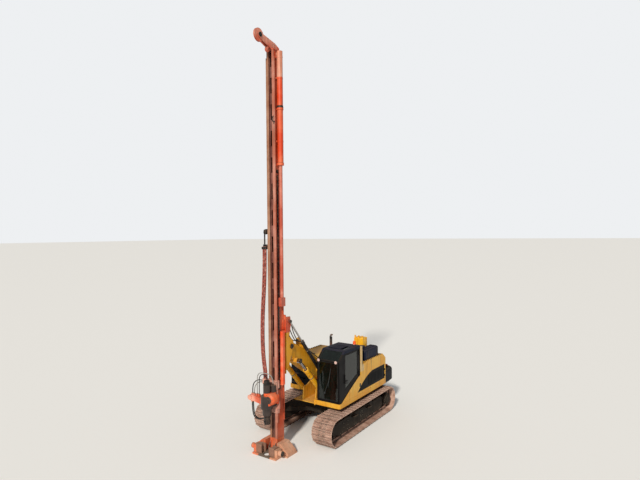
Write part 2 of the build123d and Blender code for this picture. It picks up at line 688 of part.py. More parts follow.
def door_window():
    """The door's glass outline as (y, z) points, with its lower edge along the sweeping panel."""
    high = CAB_ROOF_Z - 175
    front, rear = DOOR_FRONT_Y + 90, DOOR_REAR_Y - 90
    return [(front, CAB_FLOOR_Z + FRONT_SILL), (front, high), (rear, high), (rear, CAB_FLOOR_Z + REAR_SILL)]


def cab_door():
    """The cab's left door: a pressed frame round a large window, with a handle and a rear hinge tube."""
    leaf = side_shape(door_face(DOOR_GAP), CAB_X1 - DOOR_THICK, CAB_X1)
    leaf -= side_plate(door_window(), CAB_X1 - DOOR_THICK - 1, CAB_X1 + 1)
    leaf += block(CAB_X1 - 2, CAB_X1 + 28, DOOR_FRONT_Y + 30, DOOR_FRONT_Y + 60, 2080, 2280)
    for half in hinge_leaf(CAB_X1, DOOR_HINGE_Y, DOOR_HINGE_HEIGHTS):
        leaf += half
    return leaf


def cab_door_glass():
    """The pane in the door."""
    x = CAB_X1 - DOOR_THICK / 2
    return side_plate(door_window(), x - GLASS / 2, x + GLASS / 2)


def operator_seat():
    """The seat: pedestal, cushion and backrest, as one plain padded form."""
    x = (CAB_X0 + CAB_X1) / 2
    z = CAB_FLOOR_Z + CAB_WALL
    seat = block(x - 170, x + 170, -760, -420, z, z + 330)
    cushion = fillet(block(x - 250, x + 250, -860, -360, z + 330, z + 470).edges(), 40)
    rest = [(-430, z + 440), (-300, z + 440), (-190, z + 1150), (-290, z + 1150)]
    back = side_plate(rest, x - 230, x + 230, 30)
    return seat + cushion + back


def control_consoles():
    """The two arm consoles with their levers, and the travel pedals on the floor."""
    x = (CAB_X0 + CAB_X1) / 2
    z = CAB_FLOOR_Z + CAB_WALL
    parts = []
    for s in (-1, 1):
        c = x + s * 350
        box = block(c - 70, c + 70, -900, -420, z, z + 520)
        parts.append(box + rod_z(16, z + 515, z + 700, c, -840))
        pedal = block(x + s * 110 - 55, x + s * 110 + 55, -1330, -1130, z, z + 60)
        parts.append(pedal + rod_z(12, z + 50, z + 620, x + s * 110, -1200))
    return group(parts)


# Body behind the cab

def body_profile(inset=0.0):
    """The body side's outline as (y, z) points: nose, hood slope and tail, drawn in by an inset."""
    low = DECK_Z - 1 if inset else DECK_Z
    front, rear, high = BODY_FRONT_Y + inset, DECK_REAR_Y - inset, BODY_TOP_Z - inset
    return [(front, low), (front, BODY_NOSE_Z - 0.8 * inset), (BODY_CREST_FRONT_Y + 0.3 * inset, high),
            (BODY_CREST_REAR_Y - 0.3 * inset, high), (rear, BODY_TAIL_Z - 0.7 * inset), (rear, low)]


def tail_z(y):
    """The height of the body's sloping tail at a place along the machine."""
    share = (y - BODY_CREST_REAR_Y) / (DECK_REAR_Y - BODY_CREST_REAR_Y)
    return BODY_TOP_Z + share * (BODY_TAIL_Z - BODY_TOP_Z)


def service_door_face(gap=0.0):
    """The louvred door's outline: a long low door whose front edge sweeps up in one curve."""
    crest = (SERVICE_DOOR_CREST_Y, SERVICE_DOOR_TOP_Z)
    start = (SERVICE_DOOR_FRONT_Y, SERVICE_DOOR_LOW_Z)
    arc = ThreePointArc(start, SERVICE_DOOR_MIDDLE, crest)
    rear_high, rear_low = (SERVICE_DOOR_REAR_Y, SERVICE_DOOR_TOP_Z), (SERVICE_DOOR_REAR_Y, SERVICE_DOOR_LOW_Z)
    face = make_face(arc + Polyline(crest, rear_high, rear_low, start))
    return offset(face, -gap) if gap else face


def body_side():
    """The left side of the engine bay: a bent skin that sweeps forward below the cab, open at its door."""
    x0, x1 = BODY_X0, SKIN_X1
    shell = side_plate(body_profile(), x0, x1)
    shell -= side_plate(body_profile(PANEL), x0 - 1, x1 - PANEL)
    shell += side_shape(sweep_face(), CAB_X1, SKIN_X1)
    shell += block(x1 - 80, x1, BODY_FRONT_Y - 20, BODY_FRONT_Y + 110, BODY_NOSE_Z - 330, POST_TOP_Z)
    hinge_y, hinge_z = HOOD_HINGE
    ear_x, low = x0 + HOOD_LIP + 4, BODY_TOP_Z - 1
    shell += block(ear_x, ear_x + 36, hinge_y - 25, hinge_y + 25, low, hinge_z + 25)
    shell += rod_x(HOOD_PIN_R, x0 - 20, x0 + HOOD_LIP + 10, hinge_y, hinge_z)
    shell -= side_shape(service_door_face(), x1 - PANEL - 1, x1 + 1)
    for post in hinge_post(x1, SERVICE_HINGE_Y, SERVICE_HINGE_HEIGHTS):
        shell += post
    return shell


def service_door():
    """The left side door of the engine bay with its row of louvres."""
    leaf = side_shape(service_door_face(DOOR_GAP), SKIN_X1 - SERVICE_LEAF, SKIN_X1)
    for i in range(LOUVRE_COUNT):
        y = LOUVRE_FIRST_Y + i * LOUVRE_PITCH
        blade = [(SKIN_X1 - 1, y), (SKIN_X1 - 1, y + 60), (SKIN_X1 + 16, y + 52)]
        leaf += floor_plate(blade, SERVICE_DOOR_LOW_Z + 90, SERVICE_DOOR_TOP_Z - 100)
    for half in hinge_leaf(SKIN_X1, SERVICE_HINGE_Y, SERVICE_HINGE_HEIGHTS):
        leaf += half
    return leaf


def engine_hood():
    """The lid over the engine: a shallow pan with lips that lie on the body's sides, hinged at its front."""
    x, high = BODY_X0 - DOOR_GAP, BODY_TOP_Z + HOOD_RISE
    front, crest, rear = HOOD_FRONT_Y, BODY_CREST_REAR_Y, HOOD_REAR_Y
    foot = COUNTERWEIGHT_TOP_Z + HOOD_REAR_GAP
    lid = side_plate([(front, BODY_TOP_Z - 60), (front, high), (crest - 10, high),
                      (rear, tail_z(rear) + 30), (rear, foot), (rear - 200, foot), (crest, BODY_TOP_Z - 60)],
                     -x, x)
    under = rear - 30
    hollow = side_plate([(front + 30, foot - 1), (front + 30, high - 30), (crest - 20, high - 30),
                         (under, tail_z(under) - 5), (under, foot - 1)], -x + PANEL, x - PANEL)
    end = rear + 15
    lip = side_plate([(front, BODY_TOP_Z), (front, BODY_TOP_Z + 10), (crest + 2, BODY_TOP_Z + 10),
                      (end, tail_z(end) + 11), (end, tail_z(end) + 0.1), (crest + 1, BODY_TOP_Z)],
                     BODY_X0 - HOOD_LIP, BODY_X0 + HOOD_LIP)
    knuckle = rod_x(HOOD_KNUCKLE_R, x - 60, BODY_X0 + HOOD_LIP, *HOOD_HINGE)
    bore = rod_x(HOOD_PIN_R + FIT, BODY_X0 - 21, BODY_X0 + HOOD_LIP + 1, *HOOD_HINGE)
    return lid - hollow + mirrored(lip + knuckle) - mirrored(bore)


def engine_block():
    """The engine, a plain block across the tail."""
    return block(-ENGINE_HALF_WIDTH, ENGINE_HALF_WIDTH, ENGINE_FRONT_Y, ENGINE_REAR_Y, DECK_Z, ENGINE_TOP_Z)


def air_box():
    """The dark intake housing on the left side of the engine bay, with a domed lid and a snorkel cap."""
    x0, x1 = CABINET_X1 + 40, SKIN_X1 - 45
    y0, y1 = BODY_CREST_FRONT_Y, AIR_BOX_REAR_Y
    body = block(x0, x1, y0, y1, BODY_TOP_Z, BODY_TOP_Z + AIR_BOX_HEIGHT)
    body = fillet(body.edges().filter_by(Axis.Z) + body.faces().sort_by(Axis.Z)[-1].edges(), 70)
    cap_x, cap_y, top = x0 + 130, y0 + 240, BODY_TOP_Z + AIR_BOX_HEIGHT
    return body + rod_z(70, top - 10, top + 70, cap_x, cap_y) + rod_z(110, top + 60, top + 130, cap_x, cap_y)


def upper_cabinet():
    """The bright cabinet that rises behind the cab, on a narrower base and with three lifting ears."""
    x0, x1 = BODY_X0 + HOOD_LIP + CABINET_HOOD_GAP, CABINET_X1
    y0, y1 = CABINET_Y, CABINET_Y + CABINET_DEPTH
    body = block(x0 + 40, x1 - 40, y0 + 30, y1 - 30, BODY_TOP_Z, CABINET_TOP_Z - 450)
    upper = block(x0, x1, y0, y1, CABINET_TOP_Z - 460, CABINET_TOP_Z)
    body += chamfer(upper.faces().sort_by(Axis.Z)[-1].edges(), 20)
    for share in (0.1, 0.5, 0.9):
        x = x0 + share * (x1 - x0)
        ear = block(x - 32, x + 32, y0 + 20, y0 + 45, CABINET_TOP_Z - 10, CABINET_TOP_Z + 90)
        body += ear - rod_y(16, y0 + 15, y0 + 50, x, CABINET_TOP_Z + 55)
    return body


def exhaust():
    """The exhaust stack beside the hood, cut off at a slant."""
    x, y = -BODY_X0 - 130, EXHAUST_Y
    pipe = rod_z(58, BODY_TOP_Z, EXHAUST_TOP_Z, x, y) + rod_z(78, BODY_TOP_Z, BODY_TOP_Z + 60, x, y)
    pipe -= rod_z(50, BODY_TOP_Z + 200, EXHAUST_TOP_Z + 1, x, y)
    top = EXHAUST_TOP_Z
    slant = [(y - 80, top - 10), (y + 80, top - 90), (y + 80, top + 5), (y - 80, top + 5)]
    return pipe - side_plate(slant, x - 80, x + 80)


def fuel_tank():
    """The fuel tank on the right deck, with rounded corners, its filler and a step on its front."""
    x0, x1 = -CAB_X1, -TANK_INNER_X
    tank = block(x0, x1, TANK_FRONT_Y, BODY_FRONT_Y - 28, DECK_Z, BODY_NOSE_Z)
    tank = fillet(tank.edges().filter_by(Axis.Z), 90)
    tank = fillet(tank.faces().sort_by(Axis.Z)[-1].edges(), 40)
    tank += rod_z(65, BODY_NOSE_Z - 5, BODY_NOSE_Z + 60, x0 + 260, TANK_FRONT_Y + 200)
    for z in (DECK_Z + 280, DECK_Z + 600):
        tank += block(x0 + 250, x1 - 250, TANK_FRONT_Y - 90, TANK_FRONT_Y + 1, z, z + 25)
    return tank


def valve_block():
    """The control valve behind the boom's foot, a stepped block with a row of flat ports on its front."""
    z = SLEW_RING_TOP_Z + PLATE
    front = VALVE_Y - 140
    body = block(-190, 190, front, VALVE_Y + 140, z, VALVE_TOP_Z - 60)
    body += block(-170, 170, VALVE_Y - 90, VALVE_Y + 90, z, VALVE_TOP_Z)
    for x in HOSE_LANES:
        body += rod_y(30, front - VALVE_PORT_REACH, front + 5, x, VALVE_PORT_Z)
    return body


# Boom and its cylinders

def boom_frame_point(along_boom, above):
    """A (y, z) point given by its distance along the boom's centre line and above it."""
    length = math.dist(BOOM_FOOT, BOOM_TIP)
    u = ((BOOM_TIP[0] - BOOM_FOOT[0]) / length, (BOOM_TIP[1] - BOOM_FOOT[1]) / length)
    n = (u[1], -u[0])
    return (BOOM_FOOT[0] + along_boom * u[0] + above * n[0], BOOM_FOOT[1] + along_boom * u[1] + above * n[1])


def boom():
    """The short box boom: deep in the middle, round at both eyes, with lugs for the cylinders."""
    length = math.dist(BOOM_FOOT, BOOM_TIP)
    # Columns: share of the length, height above the centre line
    shape = ((0.0, BOOM_FOOT_R), (0.28, BOOM_DEPTH_TOP), (0.62, BOOM_DEPTH_TOP), (1.0, BOOM_TIP_R),
             (1.0, -BOOM_TIP_R), (0.86, -BOOM_DEPTH_BOTTOM - 60), (0.72, -BOOM_DEPTH_BOTTOM - 30),
             (0.3, -BOOM_DEPTH_BOTTOM), (0.0, -BOOM_FOOT_R))
    w = BOOM_HALF_WIDTH
    body = side_plate([boom_frame_point(s * length, h) for s, h in shape], -w, w)
    body += rod_x(BOOM_FOOT_R, -BRACKET_X + 4, BRACKET_X - 4, *BOOM_FOOT)
    body += rod_x(BOOM_TIP_R, -w, w, *BOOM_TIP)
    eye_in = BOOM_CYL_X - BOOM_EYE_HALF - EYE_SIDE_GAP
    body += rod_x(BOSS_R, -eye_in, eye_in, *BOOM_CYL_EYE)
    tilt_in = TILT_CYL_X - TILT_EYE_HALF - EYE_SIDE_GAP
    body += rod_x(BOSS_R, -tilt_in, tilt_in, *TILT_CYL_BASE)
    pin_end = TILT_CYL_X + TILT_EYE_HALF + 12
    body += rod_x(CYL_PIN_R, -pin_end, pin_end, *TILT_CYL_BASE)
    body -= rod_x(BOOM_PIN_R + FIT, -w - 60, w + 60, *BOOM_FOOT)
    body -= rod_x(BOOM_PIN_R + FIT, -w - 60, w + 60, *BOOM_TIP)
    # The saddle that joins the hoses. Its front couplings are flat faces at the height of the mast's pivot,
    # so that the hose ends swing along them, and its rear ones are sockets.
    lane_end = max(HOSE_LANES) + 40
    body += block(-lane_end, lane_end, SADDLE_FACE_Y + 5, SADDLE_FACE_Y + 65, SADDLE_FOOT_Z, BOOM_TIP[1] + 40)
    for x in HOSE_LANES:
        body += rod_y(28, SADDLE_FACE_Y, SADDLE_FACE_Y + 10, x, BOOM_TIP[1])
        mouth = along(SADDLE_REAR, SADDLE_AFTER, PORT_DEPTH)
        body += rod_between(28, x, along(SADDLE_REAR, SADDLE_AFTER, -45), mouth)
        body -= rod_between(BOOM_HOSE_R + HOSE_FIT, x, SADDLE_REAR, mouth)
    return body


def cylinder_barrel(x, base, eye, radius, rod_r, length, eye_half):
    """A hydraulic barrel: base eye with its bore, neck, tube, gland collar, and the rod's bore."""
    tube_start = along(base, eye, BOSS_R + 15)
    tube_end = along(base, eye, length)
    body = rod_between(radius, x, tube_start, tube_end)
    body += rod_between(eye_half - 2, x, base, along(base, eye, BOSS_R + 40))
    body += rod_x(BOSS_R - 6, x - eye_half, x + eye_half, *base)
    body += rod_between(radius + 10, x, along(base, eye, length - 110), along(base, eye, length + 12))
    body -= rod_x(CYL_PIN_R + FIT, x - eye_half - 1, x + eye_half + 1, *base)
    return body - rod_between(rod_r + FIT, x, along(base, eye, BOSS_R + 90), along(base, eye, length + 20))


def cylinder_rod(x, base, eye, rod_r, inside, eye_half):
    """A hydraulic rod with the solid eye that rides beside its lug."""
    rod = rod_between(rod_r, x, along(base, eye, inside), eye)
    return rod + rod_x(rod_r * 1.75, x - eye_half, x + eye_half, *eye)


def pair(maker):
    """A cylinder part on each side of the machine."""
    return group([maker(1), maker(-1)])


# Mast

def mast_section():
    """The mast's cross-section: a box with two front rails, a sunk channel and four guide bars."""
    outer = Pos(0, MAST_Y) * Rectangle(MAST_WIDTH, MAST_DEPTH)
    channel = MAST_WIDTH - 2 * FRONT_RAIL_WIDTH
    outer -= Pos(0, MAST_FRONT_Y + CHANNEL_DEPTH / 2) * Rectangle(channel, CHANNEL_DEPTH)
    y0 = MAST_FRONT_Y + CHANNEL_DEPTH + MAST_WALL
    y1 = MAST_BACK_Y - MAST_WALL
    hollow = Pos(0, (y0 + y1) / 2) * Rectangle(MAST_WIDTH - 2 * MAST_WALL, y1 - y0)
    return outer - hollow


def mast_column():
    """The mast tube with its guide bars and the row of oblong slots down the front channel."""
    column = extrude(Plane.XY.offset(MAST_BOTTOM_Z) * mast_section(), MAST_TOP_Z - MAST_BOTTOM_Z)
    w = MAST_WIDTH / 2
    for y in (MAST_FRONT_Y, MAST_BACK_Y - GUIDE_BAR_THICK):
        column += mirrored(block(w - 1, w + GUIDE_BAR_REACH, y, y + GUIDE_BAR_THICK,
                                 GUIDE_BAR_BOTTOM_Z, GUIDE_BAR_TOP_Z))
    count = int((MAST_TOP_Z - SLOT_FIRST_Z - SLOT_HEIGHT) // SLOT_PITCH) + 1
    y = MAST_FRONT_Y + CHANNEL_DEPTH
    for i in range(count):
        z = SLOT_FIRST_Z + i * SLOT_PITCH
        column -= block(-SLOT_WIDTH / 2, SLOT_WIDTH / 2, y - 1, y + MAST_WALL + 1, z, z + SLOT_HEIGHT)
    # The bracket where the hanging hoses end, on the right side
    hose_x, hose_y = MAST_HOSE_END[0], MAST_FRONT_Y + MAST_HOSE_END[1]
    low, last_y = HOSE_BRACKET_Z, hose_y + MAST_HOSE_PITCH
    column += block(hose_x - 36, -w + 1, hose_y - 34, last_y + 34, low, low + 90)
    for lane in (hose_y, last_y):
        column -= rod_z(MAST_HOSE_R + HOSE_FIT, low - 1, low + PORT_DEPTH, hose_x, lane)
    return column


def mast_crown():
    """The head of the mast: a cap plate and two sloping cheek plates that carry the sheaves in front."""
    z = MAST_TOP_Z
    cap = block(-170, 170, MAST_FRONT_Y - 10, MAST_BACK_Y + 40, z, z + 30)
    wheel_y, wheel_z = CROWN_SHEAVE
    cheek = [(MAST_BACK_Y + 30, z + 20), (MAST_BACK_Y + 30, z + 150), (MAST_Y, z + 250),
             (wheel_y - 30, wheel_z + 90), (wheel_y - 110, wheel_z),
             (wheel_y - 30, wheel_z - 90), (MAST_FRONT_Y - 20, z + 20)]
    inner = CROWN_PLATE_X
    plates = mirrored(side_plate(cheek, inner, inner + 24))
    tie = rod_x(22, -inner - 8, inner + 8, MAST_Y + 60, z + 150)
    roller = (MAST_FRONT_Y - 60, z + 150)
    low = rod_x(22, -inner - 8, inner + 8, roller[0], roller[1] - 30)
    guide = rod_x(75, 6 - inner, inner - 6, *roller) - rod_x(80, -8, 8, *roller) + rod_x(58, -10, 10, *roller)
    return cap + plates + tie + low + guide + rod_x(CROWN_PIN_R, -inner - 32, inner + 32, *CROWN_SHEAVE)


def crown_sheave():
    """The big rope sheave at the mast head, grooved, on the crown's pin."""
    wheel = rod_x(CROWN_SHEAVE_R, -34, 34, *CROWN_SHEAVE)
    groove = rod_x(CROWN_SHEAVE_R + 5, -12, 12, *CROWN_SHEAVE)
    groove -= rod_x(CROWN_SHEAVE_R - 34, -13, 13, *CROWN_SHEAVE)
    hub_half = CROWN_PLATE_X - 4
    wheel += rod_x(60, -hub_half, hub_half, *CROWN_SHEAVE)
    return wheel - groove - rod_x(CROWN_PIN_R + FIT, -hub_half - 1, hub_half + 1, *CROWN_SHEAVE)


def feed_cylinder():
    """The long feed cylinder's barrel with its collars and the straps that hold it to the mast."""
    x, y = FEED_CYL_X, MAST_Y
    body = rod_z(FEED_CYL_R, FEED_CYL_BOTTOM_Z, FEED_CYL_TOP_Z, x, y)
    for z in (FEED_CYL_BOTTOM_Z, FEED_CYL_BOTTOM_Z + 1850):
        body += rod_z(FEED_CYL_R + 14, z, z + 90, x, y)
        body += block(MAST_WIDTH / 2, x, y - 60, y + 60, z, z + 90)
    body += block(MAST_WIDTH / 2, x, y - 60, y + 60, FEED_CYL_TOP_Z - 140, FEED_CYL_TOP_Z - 40)
    return body - rod_z(FEED_ROD_R + FIT, FEED_CYL_BOTTOM_Z - 5, FEED_CYL_TOP_Z - 120, x, y)


def feed_rod():
    """The feed rod and the block with the chain wheel at its lower end."""
    x, y = FEED_CYL_X, MAST_Y
    rod = rod_z(FEED_ROD_R, FEED_BLOCK_Z + 120, FEED_CYL_TOP_Z - FEED_TRAVEL / 2 - FEED_ROD_GAP, x, y)
    head = block(x - 70, x + 70, y - 95, y + 95, FEED_BLOCK_Z - 160, FEED_BLOCK_Z + 130)
    return rod + head


def chain_strand():
    """A strand of leaf chain as one wavy bar on the mast's side, and its anchor blocks."""
    x0, x1 = MAST_WIDTH / 2 + 8, MAST_WIDTH / 2 + 34
    y = MAST_Y - CHAIN_OFFSET
    count = int((CHAIN_TOP_Z - CHAIN_BOTTOM_Z) / CHAIN_PITCH)
    left, right = [], []
    for i in range(count):
        z = CHAIN_BOTTOM_Z + i * CHAIN_PITCH
        for share, half in ((0.1, 30.0), (0.6, 30.0), (0.85, 17.0)):
            left.append((y - half, z + share * CHAIN_PITCH))
            right.append((y + half, z + share * CHAIN_PITCH))
    strand = side_plate(left + right[::-1], x0, x1)
    for z in (CHAIN_BOTTOM_Z - 60, CHAIN_TOP_Z - 60):
        strand += block(MAST_WIDTH / 2, x1, y - 45, y + 45, z, z + 120)
    return strand


def chain_cover():
    """The smooth bright cover over the lower chain wheel."""
    x0, low, high = MAST_WIDTH / 2 + 60, CHAIN_COVER_BOTTOM_Z, CHAIN_COVER_TOP_Z
    cover = block(x0, x0 + 110, MAST_Y - 75, MAST_Y + 75, low, high)
    cover = fillet(cover.edges().filter_by(Axis.Z), 35)
    for z in (low + 150, high - 250):
        cover += block(MAST_WIDTH / 2, x0 + 20, MAST_Y - 30, MAST_Y + 30, z, z + 80)
    return cover


def guide_claw(y_edge, direction, z0, z1, plate_y):
    """Two claws that hook a pair of guide bars, whose free edge is at y_edge on the side of direction."""
    w = MAST_WIDTH / 2
    x_in = w + GUIDE_BAR_REACH + GUIDE_GAP
    bar_back = y_edge - direction * GUIDE_BAR_THICK
    lip = sorted((bar_back - direction * GUIDE_GAP, bar_back - direction * (GUIDE_GAP + 30)))
    reach = sorted((lip[0] if direction > 0 else lip[1], plate_y))
    claw = block(x_in, x_in + 34, *reach, z0, z1) + block(w + 3, x_in + 1, *lip, z0, z1)
    return mirrored(claw)


def mast_cradle():
    """The cradle at the boom tip: side plates round the pin, a back plate and claws that hold the mast."""
    face_y, low, high = MAST_BACK_Y + GUIDE_GAP, CRADLE_BOTTOM_Z, CRADLE_TOP_Z
    inner = BOOM_HALF_WIDTH + CRADLE_PLATE_GAP
    back = block(-inner, inner, face_y, face_y + 45, low, high)
    tip_y, tip_z = BOOM_TIP
    eye_y, eye_z = TILT_CYL_EYE
    cheek = [(face_y + 30, low + 140), (face_y + 30, high - 60), (eye_y + 90, eye_z + 150),
             (eye_y + 120, eye_z - 150), (eye_y + 20, eye_z - 530), (tip_y + 120, tip_z + 150),
             (tip_y + 150, tip_z - 60), (tip_y + 60, tip_z - 170), (tip_y - 140, low + 200)]
    plates = mirrored(side_plate(cheek, inner, inner + 30))
    back += block(-inner - 30, inner + 30, face_y, face_y + 45, low + 140, high - 60)
    pin = rod_x(BOOM_PIN_R, -inner - 60, inner + 60, tip_y, tip_z)
    for z in (low + 80, high - 480):
        back += guide_claw(MAST_BACK_Y, 1, z, z + CRADLE_CLAW_HEIGHT, face_y + 20)
    back += block(-160, 160, face_y + 40, CRADLE_PORT_Y, CRADLE_PORT_Z - 45, CRADLE_PORT_Z + 45)
    for x in HOSE_LANES:
        back += rod_y(30, CRADLE_PORT_Y - 5, CRADLE_PORT_Y + PORT_DEPTH, x, CRADLE_PORT_Z)
        back -= rod_y(BOOM_HOSE_R + HOSE_FIT, CRADLE_PORT_Y, CRADLE_PORT_Y + PORT_DEPTH + 1, x, CRADLE_PORT_Z)
    return back + plates + pin


# Rotary head and string

def carriage():
    """The sled that runs on the mast's front bars: back plate, claws, and a bracket for the hose bundle."""
    y1 = CARRIAGE_FACE_Y + CARRIAGE_PLATE
    plate = block(-215, 215, CARRIAGE_FACE_Y, y1, CARRIAGE_BOTTOM_Z, CARRIAGE_TOP_Z)
    for z in (CARRIAGE_BOTTOM_Z, CARRIAGE_TOP_Z - CARRIAGE_CLAW_HEIGHT):
        plate += guide_claw(MAST_FRONT_Y, -1, z, z + CARRIAGE_CLAW_HEIGHT, y1 - 20)
    anchor = block(185, 300, CARRIAGE_FACE_Y + 7, y1, HEAD_BOTTOM_Z - 60, HEAD_BOTTOM_Z + 200)
    x, top = SLEEVE_END
    bracket = block(x - 98, -214, SLEEVE_END_Y - 50, SLEEVE_END_Y + 50, top - SLED_BRACKET_HEIGHT, top)
    for lane in (-SLEEVE_PITCH / 2, SLEEVE_PITCH / 2):
        bracket -= rod_z(SLEEVE_R + HOSE_FIT, top - PORT_DEPTH, top + 1, x + lane, SLEEVE_END_Y)
    for drop in SUPPLY_DROPS:
        bracket -= rod_x(SUPPLY_HOSE_R + HOSE_FIT, x - 99, x - 98 + PORT_DEPTH, SLEEVE_END_Y, top - drop)
    return plate + anchor + bracket


def rotary_head():
    """The head: a round gearbox on the drill axis, a spindle below, two motors on top and a side drive."""
    y, low, high, motor_top = DRILL_Y, HEAD_BOTTOM_Z, HEAD_TOP_Z, HEAD_MOTOR_TOP_Z
    box = rod_z(HEAD_R, low, high, 0, y) + block(-200, 200, y, CARRIAGE_FACE_Y, low + 50, high - 50)
    box += rod_z(150, CARRIAGE_BOTTOM_Z, low, 0, y) + rod_z(120, high, motor_top + 30, 0, y)
    drive = rod_y(SIDE_DRIVE_R, y - 120, CARRIAGE_FACE_Y - 40, SIDE_DRIVE_X, high - 100)
    drive = fillet(drive.edges(), 110)
    box += drive + block(180, 300, CARRIAGE_FACE_Y - 90, CARRIAGE_FACE_Y, high - 280, high + 10)
    box += block(-HEAD_PAD_X, -150, y - 10, y + 130, *HEAD_PAD_Z)
    motor_y = y + MOTOR_OFFSET
    for x in (-MOTOR_X, MOTOR_X):
        box += rod_z(MOTOR_R, high, motor_top, x, motor_y)
        box += rod_z(28, motor_top - 5, motor_top + PORT_DEPTH, x, motor_y)
        box -= rod_z(HEAD_HOSE_R + HOSE_FIT, motor_top, motor_top + PORT_DEPTH + 1, x, motor_y)
    return box - rod_z(SPINDLE_R + 1, CARRIAGE_BOTTOM_Z - 1, motor_top + 31, 0, y)


def hose_arm():
    """The manifold arm that carries the hoses out to the right of the head, with ports above and below."""
    y, top = ARM_Y, ARM_TOP_Z
    pad_low, pad_high = HEAD_PAD_Z
    outline = [(-HEAD_PAD_X, pad_low), (-HEAD_PAD_X, pad_high), (-640, top), (-800, top - 80),
               (-760, pad_low + 60), (-600, pad_low + 50)]
    arm = front_plate(outline, y - 70, y + 70) + rod_y(85, y - 95, y + 95, -745, top - 110)
    # Columns: x, y, radius of the hose
    ports = ((HEAD_PORTS[0], y + HEAD_PORT_Y, HEAD_HOSE_R), (HEAD_PORTS[1], y + HEAD_PORT_Y, HEAD_HOSE_R),
             (SUPPLY_PORTS[0], y, SUPPLY_HOSE_R), (SUPPLY_PORTS[1], y, SUPPLY_HOSE_R))
    for x, port_y, radius in ports:
        arm += block(x - 34, x + 34, port_y - 34, port_y + 34, top - 120, top + PORT_DEPTH)
        arm -= rod_z(radius + HOSE_FIT, top, top + PORT_DEPTH + 1, x, port_y)
    arm += block(ARM_LOW_X - 32, ARM_LOW_X + 32, y - 34, y + MAST_HOSE_PITCH + 34, ARM_LOW_Z, pad_low + 80)
    for lane in (0, MAST_HOSE_PITCH):
        arm -= rod_z(MAST_HOSE_R + HOSE_FIT, ARM_LOW_Z - 1, ARM_LOW_Z + PORT_DEPTH, ARM_LOW_X, y + lane)
    return arm


def drill_spindle():
    """The turning spindle through the head, with the chuck that takes the drill string below."""
    y, low = DRILL_Y, SPINDLE_BOTTOM_Z
    spindle = rod_z(SPINDLE_R, low, SPINDLE_TOP_Z, 0, y) + rod_z(CHUCK_R, low, low + CHUCK_HEIGHT, 0, y)
    spindle += rod_z(CHUCK_R + 12, low + 60, low + 110, 0, y)
    return spindle - rod_z(SPINDLE_R - 16, low - 1, low + 200, 0, y)


def hose_saddle():
    """The arch on the mast's right side, and below it the block whose strips guide the sleeved hoses."""
    x, z = GUIDE_ARCH
    front, back = GUIDE_Y - 20, GUIDE_Y + 50
    arch = rod_y(GUIDE_ARCH_R, front, back, x, z)
    arch -= rod_y(GUIDE_ARCH_R - GUIDE_ARCH_WIDTH, front - 1, back + 1, x, z)
    arch -= block(x - 200, x + 200, front - 1, back + 1, z - 200, z)
    side = -MAST_WIDTH / 2
    arch += block(x + GUIDE_ARCH_R - GUIDE_ARCH_WIDTH, side, front, back, z - 110, z + 10)
    clamp_x, low = SLEEVE_TOP
    high = low + SLEEVE_CLAMP_HEIGHT
    outer = x - GUIDE_ARCH_R
    clamp = block(outer, clamp_x + 80, GUIDE_Y - 55, GUIDE_Y + 55, low, high)
    clamp = fillet(clamp.edges().filter_by(Axis.Z), 25)
    clamp += block(clamp_x + 60, side, front, back, low, high)
    for pipe in (outer + 14, outer + 42):
        clamp += rod_z(13, high - 5, z + 5, pipe, GUIDE_Y + 15)
    # Rubbing strips that the sleeved hoses lie against and slide along
    for lane in (-SLEEVE_PITCH / 2, SLEEVE_PITCH / 2):
        rub = clamp_x + lane
        clamp += block(rub - 16, rub + 16, SLEEVE_Y + SLEEVE_R + HOSE_FIT, GUIDE_Y - 50, low + 5, high - 5)
    return arch + clamp


# Foot

def mast_foot():
    """The foot: base plate, clamp table round the drill axis, wedge pads, mast post and jaw housings."""
    y, low = DRILL_Y, FOOT_PLATE - 2
    back, front = MAST_BACK_Y - 10, MAST_FRONT_Y - FOOT_FRONT_REACH
    base = block(-FOOT_HALF_WIDTH, FOOT_HALF_WIDTH, front, back, 0, FOOT_PLATE)
    base += block(-CLAMP_HALF_WIDTH, CLAMP_HALF_WIDTH, y - CLAMP_TABLE, front + 1, 0, FOOT_PLATE)
    base -= rod_z(STRING_GUIDE_R + 40, -1, FOOT_PLATE + 10, 0, y)
    wedge = front_plate([(PAD_INNER_X, low), (FOOT_HALF_WIDTH, low), (FOOT_HALF_WIDTH, PAD_EDGE_Z),
                         (PAD_INNER_X + 150, PAD_TOP_Z), (PAD_INNER_X, PAD_TOP_Z)], front + 40, back - 60)
    half = MAST_WIDTH / 2
    post = block(-half, half, MAST_FRONT_Y, MAST_BACK_Y - 8, FOOT_PLATE, MAST_BOTTOM_Z)
    knee_y = MAST_FRONT_Y + 2
    knee = side_plate([(knee_y, low), (knee_y, PAD_TOP_Z), (y + CLAMP_TABLE, 160), (y + CLAMP_TABLE, low)],
                      half - 45, half - 20)
    housing = block(JAW_HOUSING_X, CLAMP_HALF_WIDTH, y - 115, y + 115, low, JAW_HOUSING_TOP_Z)
    housing += rod_x(88, CLAMP_HALF_WIDTH - 10, CLAMP_HALF_WIDTH + 130, y, JAW_Z)
    housing -= rod_x(JAW_ROD_R + FIT, JAW_HOUSING_X - 1, CLAMP_HALF_WIDTH + 60, y, JAW_Z)
    return base + post + mirrored(wedge) + mirrored(knee) + mirrored(housing)


